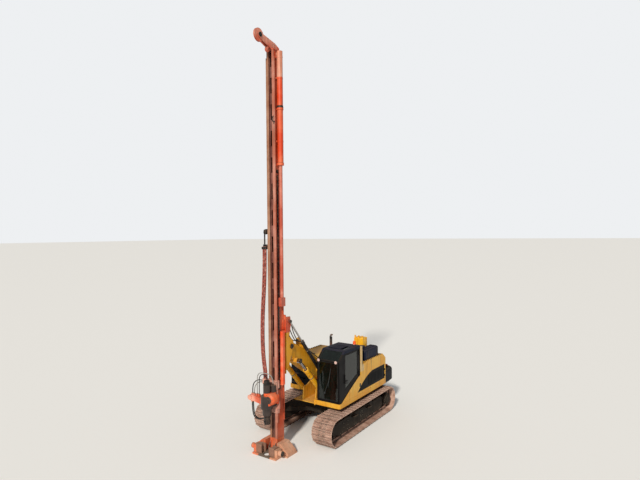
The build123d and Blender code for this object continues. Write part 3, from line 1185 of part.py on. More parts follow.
def clamp_jaw(side):
    """One clamp jaw: a block with a hollow for the rod, pushed by its own piston rod from the foot's end."""
    y = DRILL_Y
    inner = STRING_GUIDE_R + JAW_STROKE
    top = JAW_HOUSING_TOP_Z + 30
    jaw = block(inner, JAW_HOUSING_X - 8, y - 125, y + 125, FOOT_PLATE, top)
    jaw = fillet(jaw.edges().filter_by(Axis.X), 25)
    jaw -= rod_z(STRING_GUIDE_R, FOOT_PLATE - 10, top + 10, inner - 30, y)
    jaw += rod_x(JAW_ROD_R, JAW_HOUSING_X - 20, CLAMP_HALF_WIDTH - 20, y, JAW_Z)
    return jaw if side > 0 else mirror(jaw, about=Plane.YZ)


# Hoses

def hose(name, points, radius):
    """A hose of straight runs joined by tangent arcs as wide as the runs allow; prints its bend radii."""
    radii = []
    for a, b, c in zip(points, points[1:], points[2:]):
        before, after = Vector(*b) - Vector(*a), Vector(*c) - Vector(*b)
        turn = math.radians(before.get_angle(after))
        radii.append(0.45 * min(before.length, after.length) / math.tan(turn / 2))
    path = FilletPolyline(*points, radius=radii)
    print(name, "length", round(path.length), "bends", [round(r) for r in radii])
    return sweep(Plane(origin=path @ 0, z_dir=path % 0) * Circle(radius), path=path)


def shifted(points, dx, dy):
    """The same route moved sideways."""
    return [(x + dx, y + dy, z) for x, y, z in points]


def hose_sleeves():
    """The two sleeved hoses along the mast's right side, from the guide block down to the sled."""
    x, top = SLEEVE_TOP
    end_x, end_z = SLEEVE_END
    y, end_y = SLEEVE_Y, SLEEVE_END_Y
    route = [(x, y, top + PORT_DEPTH), (x, y, 6300), (-340, y - 8, 5500), (-405, y - 14, 4700),
             (-430, y - 16, 3900), (-405, y - 18, 3250), (-345, y - 22, 2830), (end_x, end_y, 2600),
             (end_x, end_y, end_z - PORT_DEPTH)]
    lanes = (-SLEEVE_PITCH / 2, SLEEVE_PITCH / 2)
    return group([hose("sleeve", shifted(route, lane, 0), SLEEVE_R) for lane in lanes])


def supply_hoses():
    """The two hoses from the sled's bracket round to the manifold arm."""
    x, y, top = SLEEVE_END[0] - 98, SLEEVE_END_Y, SLEEVE_END[1]
    upper, lower = top - SUPPLY_DROPS[0], top - SUPPLY_DROPS[1]
    far, near = SUPPLY_PORTS
    first = [(x + PORT_DEPTH, y, upper), (x - 80, y, upper), (-600, y - 75, upper + 10),
             (-670, ARM_Y + 50, 2270), (far, ARM_Y, 2100), (far, ARM_Y, ARM_TOP_Z)]
    second = [(x + PORT_DEPTH, y, lower), (x - 70, y, lower), (-560, y - 75, lower - 5),
              (-598, ARM_Y + 60, 2200), (near, ARM_Y, 2080), (near, ARM_Y, ARM_TOP_Z)]
    return group([hose("supply hose", route, SUPPLY_HOSE_R) for route in (first, second)])


def head_hoses():
    """The two hoses that rise from the manifold arm and bend over into the head's motors."""
    near, far = HEAD_PORTS
    y, x, motor_y = ARM_Y + HEAD_PORT_Y, MOTOR_X, DRILL_Y + MOTOR_OFFSET
    first = [(near, y, ARM_TOP_Z), (near, y, 2230), (near + 6, y + 4, 2600), (-x, motor_y, 2600),
             (-x, motor_y, HEAD_MOTOR_TOP_Z)]
    second = [(far, y, ARM_TOP_Z), (far, y, 2260), (far + 10, y + 4, 2620), (-200, y - 20, 2690),
              (x, motor_y, 2620), (x, motor_y, HEAD_MOTOR_TOP_Z)]
    return group([hose("head hose one", first, HEAD_HOSE_R), hose("head hose two", second, HEAD_HOSE_R)])


def mast_hoses():
    """The two hoses that hang in a loop from the manifold arm and climb the mast's right side."""
    x, y = MAST_HOSE_END[0], MAST_FRONT_Y + MAST_HOSE_END[1]
    start = ARM_LOW_Z + PORT_DEPTH
    route = [(ARM_LOW_X, ARM_Y, start), (ARM_LOW_X, ARM_Y, 1190), (-580, ARM_Y + 110, 1020),
             (-415, ARM_Y + 262, 1015), (-292, ARM_Y + 372, 1185),
             (-262, y - 30, 1620), (-245, y, 2140), (-240, y + 5, 2670), (-238, y - 2, 3200),
             (x, y, 3735), (x, y, HOSE_BRACKET_Z + PORT_DEPTH)]
    lanes = (0, MAST_HOSE_PITCH)
    return group([hose("mast hose", shifted(route, 0, lane), MAST_HOSE_R) for lane in lanes])


def tilt_hoses():
    """The hoses from the cradle over to the saddle on the boom."""
    parts = []
    for x in HOSE_LANES:
        rise = 18 if x else 48
        route = [(x, CRADLE_PORT_Y, CRADLE_PORT_Z), (x, -2780, CRADLE_PORT_Z), (x * 1.1, -2570, 4160 + rise),
                 (x * 1.1, -2480, 3900 + rise), (x * 1.1, -2330, 3640 + rise), (x, -2130, BOOM_TIP[1]),
                 (x, SADDLE_FACE_Y - HOSE_FIT, BOOM_TIP[1])]
        parts.append(hose("tilt hose", route, BOOM_HOSE_R))
    return group(parts)


def deck_hoses():
    """The hoses from the boom's saddle down along the boom to the control valve."""
    parts = []
    for x in HOSE_LANES:
        port_y = VALVE_Y - 140 - VALVE_PORT_REACH - HOSE_FIT
        route = [(x, *SADDLE_REAR), (x, *SADDLE_AFTER), (x * 1.1, -1300, 2890), (x * 1.1, -930, 2640),
                 (x, -560, 2370), (x, -220, 2130), (x, -130, 1870), (x, -110, 1620), (x, 0, VALVE_PORT_Z),
                 (x, port_y, VALVE_PORT_Z)]
        parts.append(hose("deck hose", route, BOOM_HOSE_R))
    return group(parts)


def lamps():
    """The work lamps on the cab's brow."""
    parts = []
    for x in (CAB_X0 + 110, CAB_X1 - 110):
        parts.append(rod_y(62, CAB_FRONT_Y - 75, CAB_FRONT_Y, x, CAB_BROW_Z + 10))
    return group(parts)


def beacon():
    """The warning lamp on the cab roof."""
    return rod_z(75, CAB_ROOF_Z, CAB_ROOF_Z + 30, CAB_X1 - 160, CAB_REAR_Y - 150) \
        + rod_z(58, CAB_ROOF_Z + 30, CAB_ROOF_Z + 170, CAB_X1 - 160, CAB_REAR_Y - 150)


def nodes():
    """Every node of the machine by name."""
    left_frame = track_frame()
    left_rollers = rollers()
    left_idler = idler()
    left_sprocket = sprocket()
    left_body = body_side()
    left_service_door = service_door()
    right_body = mirror(left_body, about=Plane.YZ)
    right_body -= block(-HOUSE_HALF_WIDTH, 0, HOUSE_FRONT_Y, TANK_FRONT_Y + 120, 0, POST_TOP_Z)
    boom_cyl = (BOOM_CYL_BASE, BOOM_CYL_EYE)
    tilt_cyl = (TILT_CYL_BASE, TILT_CYL_EYE)
    parts = {
        "car_body": car_body(),
        "slewing_ring": rod_z(SLEW_RING_R, CAR_BODY_TOP_Z + 40, SLEW_RING_TOP_Z, 0, 0),
        "track_frames": both_sides(left_frame),
        "track_rollers": both_sides(left_rollers),
        "idler_wheels": both_sides(left_idler),
        "drive_sprockets": both_sides(left_sprocket),
        "track_left": track_loop(1),
        "track_right": track_loop(-1),
        "turntable": turntable(),
        "side_decks": group([deck(HOUSE_FRONT_Y), mirror(deck(RIGHT_FRONT_Y), about=Plane.YZ)]),
        "counterweight": counterweight(),
        "cab_shell": cab_shell(),
        "cab_glass": cab_glass(),
        "cab_door": cab_door(),
        "cab_door_glass": cab_door_glass(),
        "operator_seat": operator_seat(),
        "control_consoles": control_consoles(),
        "body_left": left_body,
        "body_right": right_body,
        "service_door_left": left_service_door,
        "service_door_right": mirror(left_service_door, about=Plane.YZ),
        "air_box": air_box(),
        "upper_cabinet": upper_cabinet(),
        "exhaust": exhaust(),
        "fuel_tank": fuel_tank(),
        "valve_block": valve_block(),
        "engine_hood": engine_hood(),
        "engine_block": engine_block(),
        "boom": boom(),
        "boom_cylinder_barrels": pair(lambda s: cylinder_barrel(
            s * BOOM_CYL_X, *boom_cyl, BOOM_CYL_R, BOOM_ROD_R, BOOM_BARREL_LENGTH, BOOM_EYE_HALF)),
        "boom_cylinder_rods": pair(lambda s: cylinder_rod(
            s * BOOM_CYL_X, *boom_cyl, BOOM_ROD_R, BOOM_BARREL_LENGTH - 560, BOOM_EYE_HALF)),
        "tilt_cylinder_barrels": pair(lambda s: cylinder_barrel(
            s * TILT_CYL_X, *tilt_cyl, TILT_CYL_R, TILT_ROD_R, TILT_BARREL_LENGTH, TILT_EYE_HALF)),
        "tilt_cylinder_rods": pair(lambda s: cylinder_rod(
            s * TILT_CYL_X, *tilt_cyl, TILT_ROD_R, TILT_BARREL_LENGTH - 600, TILT_EYE_HALF)),
        "mast_cradle": mast_cradle(),
        "mast_column": mast_column(),
        "mast_crown": mast_crown(),
        "crown_sheave": crown_sheave(),
        "feed_cylinder": feed_cylinder(),
        "feed_rod": feed_rod(),
        "feed_chain": chain_strand(),
        "chain_cover": chain_cover(),
        "carriage": carriage(),
        "rotary_head": rotary_head(),
        "hose_arm": hose_arm(),
        "drill_spindle": drill_spindle(),
        "hose_saddle": hose_saddle(),
        "mast_foot": mast_foot(),
        "clamp_jaw_left": clamp_jaw(1),
        "clamp_jaw_right": clamp_jaw(-1),
        "hose_sleeves": hose_sleeves(),
        "supply_hoses": supply_hoses(),
        "head_hoses": head_hoses(),
        "mast_hoses": mast_hoses(),
        "tilt_hoses": tilt_hoses(),
        "deck_hoses": deck_hoses(),
        "work_lamps": lamps(),
        "beacon": beacon(),
    }
    return parts


def main():
    os.makedirs("parts", exist_ok=True)
    for name, shape in nodes().items():
        export_step(Pos(0, ORIGIN_SHIFT, 0) * shape, f"parts/{name}.step")


if __name__ == "__main__":
    main()
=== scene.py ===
import math
import bpy
from mathutils import Matrix, Vector


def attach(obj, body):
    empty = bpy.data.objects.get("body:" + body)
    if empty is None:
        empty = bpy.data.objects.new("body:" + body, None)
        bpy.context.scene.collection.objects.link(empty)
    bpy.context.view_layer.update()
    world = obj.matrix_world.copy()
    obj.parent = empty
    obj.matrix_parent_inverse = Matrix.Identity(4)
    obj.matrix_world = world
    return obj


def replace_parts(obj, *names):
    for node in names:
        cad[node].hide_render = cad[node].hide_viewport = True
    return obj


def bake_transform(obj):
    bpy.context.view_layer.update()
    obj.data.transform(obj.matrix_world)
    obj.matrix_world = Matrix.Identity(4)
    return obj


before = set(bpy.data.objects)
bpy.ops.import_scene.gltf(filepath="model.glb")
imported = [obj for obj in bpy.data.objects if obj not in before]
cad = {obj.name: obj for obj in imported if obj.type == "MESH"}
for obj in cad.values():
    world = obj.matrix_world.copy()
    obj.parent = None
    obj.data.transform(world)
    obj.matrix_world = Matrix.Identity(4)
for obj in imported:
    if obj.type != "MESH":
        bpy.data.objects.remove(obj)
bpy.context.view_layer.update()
bpy.ops.object.select_all(action="DESELECT")

# The camera
# It stands where the photograph was taken, about 7.3 m above the ground and 19 m from the mast, and looks
# almost level across the machine. The lens is that of a phone's main camera.
CAMERA_PLACE = Vector((10.338, -15.276, 7.295))
CAMERA_HEADING = math.radians(123.96)
CAMERA_DROP = math.radians(0.7)
CAMERA_ROLL = math.radians(-0.52)


def line_of_sight(heading, drop):
    """The direction of a level heading that is turned down by a drop."""
    return Vector((math.cos(heading) * math.cos(drop), math.sin(heading) * math.cos(drop), -math.sin(drop)))


def link(piece):
    """Puts a new object in the scene."""
    bpy.context.scene.collection.objects.link(piece)
    return piece


camera_data = bpy.data.cameras.new("camera")
camera_data.sensor_width = 36.0
camera_data.lens = 27.06
camera_data.clip_end = 900.0
camera = link(bpy.data.objects.new("camera", camera_data))
facing = line_of_sight(CAMERA_HEADING, CAMERA_DROP).to_track_quat("-Z", "Y").to_matrix().to_4x4()
camera.matrix_world = Matrix.Translation(CAMERA_PLACE) @ facing @ Matrix.Rotation(CAMERA_ROLL, 4, "Z")
bpy.context.scene.camera = camera
bpy.context.scene.view_settings.view_transform = "Standard"


# The floor and the light
# A plain pale floor, one soft key lamp from behind the camera's left shoulder, as the sun stood, and an even
# pale surround, which the camera sees as near white.
SHARE, FIRST, SECOND = 0, 6, 7


def linear(code):
    """An sRGB hex colour as linear values with an alpha of one."""
    parts = [int(code[i:i + 2], 16) / 255 for i in (1, 3, 5)]
    return [c / 12.92 if c <= 0.04045 else ((c + 0.055) / 1.055) ** 2.4 for c in parts] + [1.0]


def feed(node, inputs):
    """Gives a node's inputs values, hex colours, sockets, or other nodes for their first output in use."""
    for name, value in inputs.items():
        if isinstance(value, bpy.types.Node):
            value = next(output for output in value.outputs if output.enabled)
        if isinstance(value, str):
            value = linear(value)
        if isinstance(value, bpy.types.NodeSocket):
            node.id_data.links.new(value, node.inputs[name])
        else:
            node.inputs[name].default_value = value
    return node


def add(tree, kind, inputs={}, **settings):
    """Adds a shader node, sets its properties and feeds it. A Mix goes from FIRST to SECOND by SHARE."""
    node = tree.nodes.new("ShaderNode" + kind)
    if kind == "Mix":
        node.data_type = "RGBA"
    for name, value in settings.items():
        setattr(node, name, value)
    return feed(node, inputs)


def finish_of(name):
    """A new material, the tree to build on and its shader."""
    material = bpy.data.materials.new(name)
    material.use_nodes = True
    return material, material.node_tree, material.node_tree.nodes["Principled BSDF"]


def cover(piece, material):
    """Gives a piece one finish in place of what it had."""
    piece.data.materials.clear()
    piece.data.materials.append(material)


def wear(material, *nodes):
    """Gives CAD nodes their finish."""
    for name in nodes:
        cover(cad[name], material)


bpy.ops.mesh.primitive_plane_add(size=1200.0, location=(0, 0, -0.002))
floor = bpy.context.object
floor.name = "floor"
# Pale floor: even, matt and almost white.
pale_floor, tree, shader = finish_of("pale_floor")
feed(shader, {"Base Color": "#EFEFEE", "Roughness": 0.9})
cover(floor, pale_floor)
floor.select_set(False)

KEY_HEADING = CAMERA_HEADING - math.radians(16.8)
KEY_HEIGHT = math.radians(34)
key = bpy.data.lights.new("key", "SUN")
key.energy = 3.3
key.angle = math.radians(5)
key.color = linear("#FFF8EC")[:3]
key_lamp = link(bpy.data.objects.new("key", key))
key_lamp.rotation_mode = "QUATERNION"
key_lamp.rotation_quaternion = line_of_sight(KEY_HEADING, KEY_HEIGHT).to_track_quat("-Z", "Y")

world = bpy.data.worlds.new("studio")
bpy.context.scene.world = world
world.use_nodes = True
air = world.node_tree
ray = add(air, "LightPath").outputs
seen = add(air, "Math", {0: ray["Is Camera Ray"], 1: ray["Is Transmission Ray"]}, operation="MAXIMUM")
glow = add(air, "Math", {0: seen, 1: 0.6, 2: 0.38}, operation="MULTIPLY_ADD")
feed(air.nodes["Background"], {"Color": "#F0F2F4", "Strength": glow})


# The hydraulic hoses
# Black rubber hoses braided with steel wire, held by crimped and screwed steel ends at brackets and ports.
# The two thick lines that feed the head run inside faded red woven sleeves against wear on the mast.
def per_metre(mm):
    """The texture scale whose pattern repeats about every mm millimetres."""
    return 1000.0 / mm


def hose(name, route, bore):
    """A hose as a curve along its route, both in metres."""
    curve = bpy.data.curves.new(name, "CURVE")
    curve.dimensions = "3D"
    curve.resolution_u = 10
    curve.bevel_resolution = 3
    curve.bevel_depth = bore / 2
    curve.use_fill_caps = True
    line = curve.splines.new("NURBS")
    line.points.add(len(route) - 1)
    for point, place in zip(line.points, route):
        point.co = (*place, 1.0)
    line.order_u = 3
    line.use_endpoint_u = True
    return link(bpy.data.objects.new(name, curve))


def bending(piece, material):
    """Turns a hose into a mesh tube, and returns it with its line's points."""
    name, curve = piece.name, piece.data
    bore, curve.bevel_depth = curve.bevel_depth, 0.0
    bpy.context.view_layer.update()
    line = bpy.data.meshes.new_from_object(piece)
    points = [tuple(vertex.co) for vertex in line.vertices]
    bpy.data.meshes.remove(line)
    curve.bevel_depth = bore
    bpy.context.view_layer.update()
    tube = bpy.data.meshes.new_from_object(piece)
    bpy.data.objects.remove(piece)
    piece = link(bpy.data.objects.new(name, tube))
    cover(piece, material)
    return piece, points


def bridging_hose(name, node, route, bore, material):
    """A hose in place of a CAD node's, as one mesh tube along its route."""
    line, path = bending(hose(name, route, bore), material)
    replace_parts(line, node)
    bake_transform(line)


def begun(name, primitive, **settings):
    """Adds a primitive to model a piece from, and opens it for editing."""
    bpy.ops.object.select_all(action="DESELECT")
    primitive(**settings)
    bpy.context.object.name = name
    bpy.ops.object.mode_set(mode="EDIT")
    bpy.ops.mesh.select_all(action="SELECT")
    return bpy.context.object


def turned(name, sides, profile, material, smooth=35):
    """A turned piece about the z axis: a disc drawn out to each height and radius of its profile."""
    piece = begun(name, bpy.ops.mesh.primitive_circle_add, vertices=sides, radius=profile[0][1],
                  fill_type="NGON")
    bpy.ops.transform.translate(value=(0, 0, profile[0][0]))
    for (low, wide), (high, next_wide) in zip(profile, profile[1:]):
        bpy.ops.mesh.extrude_region_move(TRANSFORM_OT_translate={"value": (0, 0, high - low)})
        bpy.ops.transform.resize(value=(next_wide / wide, next_wide / wide, 1))
    bpy.ops.mesh.select_all(action="SELECT")
    bpy.ops.mesh.normals_make_consistent(inside=False)
    bpy.ops.object.mode_set(mode="OBJECT")
    bpy.ops.object.shade_smooth_by_angle(angle=math.radians(smooth))
    piece.data.materials.append(material)
    piece.select_set(False)
    return piece


def toward(direction):
    """The turn that brings a piece's z axis to look along a direction."""
    return Vector(direction).to_track_quat("Z", "Y").to_matrix().to_4x4()


def joined(pieces):
    """Joins pieces into the first of them."""
    bpy.ops.object.select_all(action="DESELECT")
    for piece in pieces:
        piece.select_set(True)
    bpy.context.view_layer.objects.active = pieces[0]
    if len(pieces) > 1:
        bpy.ops.object.join()
    pieces[0].select_set(False)
    return pieces[0]


def copies(name, pattern, places):
    """Copies of a pattern at each place, as (point, direction of its z axis, size), joined in one piece."""
    made = []
    for point, along, size in places:
        made.append(link(bpy.data.objects.new(name, pattern.data.copy())))
        made[-1].data.transform(Matrix.Translation(point) @ toward(along) @ Matrix.Scale(size, 4))
    group = joined(made)
    group.name = name
    return group


def put_away(*patterns):
    """Removes patterns that have been copied."""
    for pattern in patterns:
        bpy.data.objects.remove(pattern)


# Hose rubber: dull, greyed by dust in patches, with a faint spiral of the braid below. Two lines are grey.
hose_finishes = []
for name, new, aged in (("hose_rubber", "#0E0E10", "#4A4540"), ("grey_hose_rubber", "#8B8B89", "#A9A49B")):
    rubber, tree, shader = finish_of(name)
    hose_finishes.append(rubber)
    place = add(tree, "TexCoord").outputs
    spiral = add(tree, "Mapping", {"Vector": place["UV"], "Scale": (220.0, 8.0, 1.0),
                                   "Rotation": (0, 0, 0.3)})
    braid = add(tree, "TexWave", {"Vector": spiral, "Scale": 1.0, "Distortion": 0.4})
    greyed = add(tree, "TexNoise", {"Vector": place["Object"], "Scale": per_metre(160), "Detail": 5.0,
                                    "Roughness": 0.7})
    dusty = add(tree, "MapRange", {"Value": greyed, "From Min": 0.45, "From Max": 0.75, "To Max": 0.75})
    colour = add(tree, "Mix", {SHARE: dusty, FIRST: new, SECOND: aged})
    dull = add(tree, "MapRange", {"Value": greyed, "To Min": 0.45, "To Max": 0.8})
    relief = add(tree, "Bump", {"Height": braid.outputs["Fac"], "Strength": 0.25, "Distance": 0.002})
    feed(shader, {"Base Color": colour, "Roughness": dull, "Normal": relief})
hose_rubber, grey_hose_rubber = hose_finishes

# Faded red sleeve: a coarse weave whose threads are bleached pink, speckled with dark oil and pale dust.
red_sleeve, tree, shader = finish_of("red_sleeve")
place = add(tree, "TexCoord").outputs
spread = add(tree, "Mapping", {"Vector": place["UV"], "Scale": (700.0, 26.0, 1.0)})
threads = add(tree, "TexBrick", {"Vector": spread, "Scale": 1.0, "Mortar Size": 0.08, "Color1": "#D9604A",
                                 "Color2": "#C24A38", "Mortar": "#5A241B"})
stains = add(tree, "TexNoise", {"Vector": place["Object"], "Scale": per_metre(90), "Detail": 6.0,
                                "Roughness": 0.75})
pale = add(tree, "MapRange", {"Value": stains, "From Min": 0.5, "From Max": 0.72, "To Max": 0.8})
bleach = add(tree, "Mix", {SHARE: pale, FIRST: threads.outputs["Color"], SECOND: "#D9A595"})
oil = add(tree, "MapRange", {"Value": stains, "From Min": 0.44, "From Max": 0.34, "To Max": 0.85})
soiled = add(tree, "Mix", {SHARE: oil, FIRST: bleach, SECOND: "#2A1613"})
relief = add(tree, "Bump", {"Height": threads.outputs["Fac"], "Strength": 0.4, "Distance": 0.002})
feed(shader, {"Base Color": soiled, "Roughness": 0.85, "Sheen Weight": 0.2, "Normal": relief})


def filmed_metal(name, clean, filmed, metallic, glossy, dull, patch, detail, rough):
    """Metal under patches, given in millimetres, of a film that dulls it."""
    material, tree, shader = finish_of(name)
    place = add(tree, "TexCoord").outputs["Object"]
    film = add(tree, "TexNoise", {"Vector": place, "Scale": per_metre(patch), "Detail": detail,
                                  "Roughness": rough})
    metal = add(tree, "Mix", {SHARE: film, FIRST: clean, SECOND: filmed})
    dulled = add(tree, "MapRange", {"Value": film, "To Min": glossy, "To Max": dull})
    feed(shader, {"Base Color": metal, "Metallic": metallic, "Roughness": dulled})
    return material


# Zinc-plated steel of hose ends and bolts: soft grey metal gone yellowish and dull, with darker oily spots.
plated_steel = filmed_metal("plated_steel", "#A8A498", "#6B6154", 0.85, 0.3, 0.6, 25, 4.0, 0.65)

nut = turned("hose_nut", 6, [(0, 0.62), (0.08, 0.7), (0.62, 0.7), (0.7, 0.62)], plated_steel, 20)
crimp = turned("hose_crimp", 14, [(0.68, 0.56), (0.75, 0.6), (1.1, 0.6), (1.16, 0.55), (1.24, 0.55),
                                  (1.3, 0.6), (1.66, 0.6), (1.72, 0.55), (1.8, 0.55), (1.86, 0.6), (2.2, 0.6),
                                  (2.28, 0.53)], plated_steel)


def hose_ends(name, body, ends, bore):
    """The screwed and crimped ends of hoses, each at its port and looking along the hose."""
    places = [(point, along, bore) for point, along in ends]
    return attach(joined([copies(name, nut, places), copies(name + "_crimps", crimp, places)]), body)


UP, DOWN, LEFT, BACK, FRONT = (0, 0, 1), (0, 0, -1), (-1, 0, 0), (0, 1, 0), (0, -1, 0)

SLEEVE_BORE = 0.076
SLEEVE_X, SLEEVE_Y = -0.308, -2.83
SLEEVE_ROUTE = [(SLEEVE_X, SLEEVE_Y, 6.895), (SLEEVE_X, SLEEVE_Y, 6.3), (-0.34, -2.838, 5.5),
                (-0.405, -2.844, 4.7), (-0.43, -2.846, 3.9), (-0.405, -2.848, 3.25),
                (-0.345, -2.852, 2.83), (-0.302, -2.855, 2.6), (-0.302, -2.855, 2.385)]
for hand, shift in (("left", 0.043), ("right", -0.043)):
    bridging_hose("hose_sleeve_" + hand, "hose_sleeves", [(x + shift, y, z) for x, y, z in SLEEVE_ROUTE],
                  SLEEVE_BORE, red_sleeve)

# The sled's short lines: kind, bore, the way the first end looks, and two lengths and routes
SLED_LINES = (
    ("supply", 0.032, LEFT, {
        "one": (0.771, [(-0.365, -2.855, 2.34), (-0.48, -2.855, 2.34), (-0.6, -2.93, 2.35),
                        (-0.67, -3.04, 2.27), (-0.68, -3.09, 2.1), (-0.68, -3.09, 1.9)]),
        "two": (0.656, [(-0.365, -2.855, 2.285), (-0.47, -2.855, 2.285), (-0.56, -2.93, 2.28),
                        (-0.598, -3.03, 2.2), (-0.6, -3.09, 2.08), (-0.6, -3.09, 1.9)])}),
    ("head", 0.028, UP, {
        "one": (1.172, [(-0.4, -3.07, 1.9), (-0.4, -3.07, 2.23), (-0.394, -3.066, 2.6),
                        (-0.13, -2.98, 2.6), (-0.13, -2.98, 2.3)]),
        "two": (1.592, [(-0.49, -3.07, 1.9), (-0.49, -3.07, 2.26), (-0.48, -3.066, 2.62),
                        (-0.2, -3.09, 2.69), (0.13, -2.98, 2.62), (0.13, -2.98, 2.3)])}),
)
for kind, bore, first_way, routes in SLED_LINES:
    for name, (length, route) in routes.items():
        line = hose(kind + "_hose_" + name, route, bore)
        line.data.materials.append(grey_hose_rubber if name == "two" else hose_rubber)
        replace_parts(line, kind + "_hoses")
        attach(line, "sled")
for kind, bore, first_way, routes in SLED_LINES:
    ends = [end for _, route in routes.values() for end in ((route[0], first_way), (route[-1], UP))]
    hose_ends(kind + "_hose_ends", "sled", ends, bore)

MAST_BORE = 0.036
MAST_ROUTE = [(-0.7, -3.09, 1.675), (-0.7, -3.09, 1.19), (-0.58, -2.98, 1.02), (-0.415, -2.828, 1.015),
              (-0.292, -2.718, 1.185), (-0.262, -2.69, 1.62), (-0.245, -2.66, 2.14), (-0.24, -2.655, 2.67),
              (-0.238, -2.662, 3.2), (-0.225, -2.66, 3.735), (-0.225, -2.66, 4.265)]
MAST_HOSE_STEP = 0.058
for name, step in (("front", 0.0), ("rear", MAST_HOSE_STEP)):
    bridging_hose("mast_hose_" + name, "mast_hoses", [(x, y + step, z) for x, y, z in MAST_ROUTE], MAST_BORE,
                  hose_rubber)
for name, body, (x, y, z) in (("sled", "sled", MAST_ROUTE[0]), ("top", "mast", MAST_ROUTE[-1])):
    hose_ends(f"mast_hose_{name}_ends", body, [((x, y + step, z), DOWN) for step in (0.0, MAST_HOSE_STEP)],
              MAST_BORE)

BOOM_BORE = 0.032
BOOM_LANES = (("right", -0.12, 0.018, 1.517), ("middle", 0.0, 0.048, 1.519), ("left", 0.12, 0.018, 1.517))
TILT_ROUTE = [(1.0, -2.38, 4.36, 0), (1.0, -2.18, 4.36, 0), (1.1, -1.97, 4.16, 1), (1.1, -1.88, 3.9, 1),
              (1.1, -1.73, 3.64, 1), (1.0, -1.53, 3.45, 0), (1.0, -1.3303, 3.45, 0)]
DECK_ROUTE = [(1.0, -1.28, 3.262), (1.0, -1.04, 3.125), (1.1, -0.7, 2.89), (1.1, -0.33, 2.64),
              (1.0, 0.04, 2.37), (1.0, 0.38, 2.13), (1.0, 0.47, 1.87), (1.0, 0.49, 1.62),
              (1.0, 0.6, 1.37), (1.0, 0.8447, 1.37)]
for name, x, rise, length in BOOM_LANES:
    tilt_route = [(x * k, y, z + rise * up) for k, y, z, up in TILT_ROUTE]
    bridging_hose("tilt_hose_" + name, "tilt_hoses", tilt_route, BOOM_BORE, hose_rubber)
    bridging_hose("deck_hose_" + name, "deck_hoses", [(x * k, y, z) for k, y, z in DECK_ROUTE], BOOM_BORE,
                  hose_rubber)
for name, body, y, z, along in (("tilt_hose_cradle", "cradle", -2.38, 4.36, BACK),
                                ("tilt_hose_boom", "boom", -1.33, 3.45, FRONT),
                                ("deck_hose_boom", "boom", -1.28, 3.262, (0, 0.87, -0.5)),
                                ("deck_hose_valve", "house", 0.845, 1.37, FRONT)):
    hose_ends(name + "_ends", body, [((lane[1], y, z), along) for lane in BOOM_LANES], BOOM_BORE)
put_away(nut, crimp)


# The undercarriage
# Two welded track frames on a middle frame, painted black long ago, now worn and caked with clay. The shoes
# are rolled steel plates that rub bright on their bars and rust in between, with painted shade in the valleys
# between the bars; the wheels are forged steel.
def worn_edge(tree, radius):
    """How far the normal of an edge rounded by a radius agrees with the true one: 1 on flat faces."""
    surface = add(tree, "NewGeometry").outputs["Normal"]
    rounded = add(tree, "Bevel", {"Radius": radius}, samples=4)
    return add(tree, "VectorMath", {0: rounded, 1: surface}, operation="DOT_PRODUCT"), surface


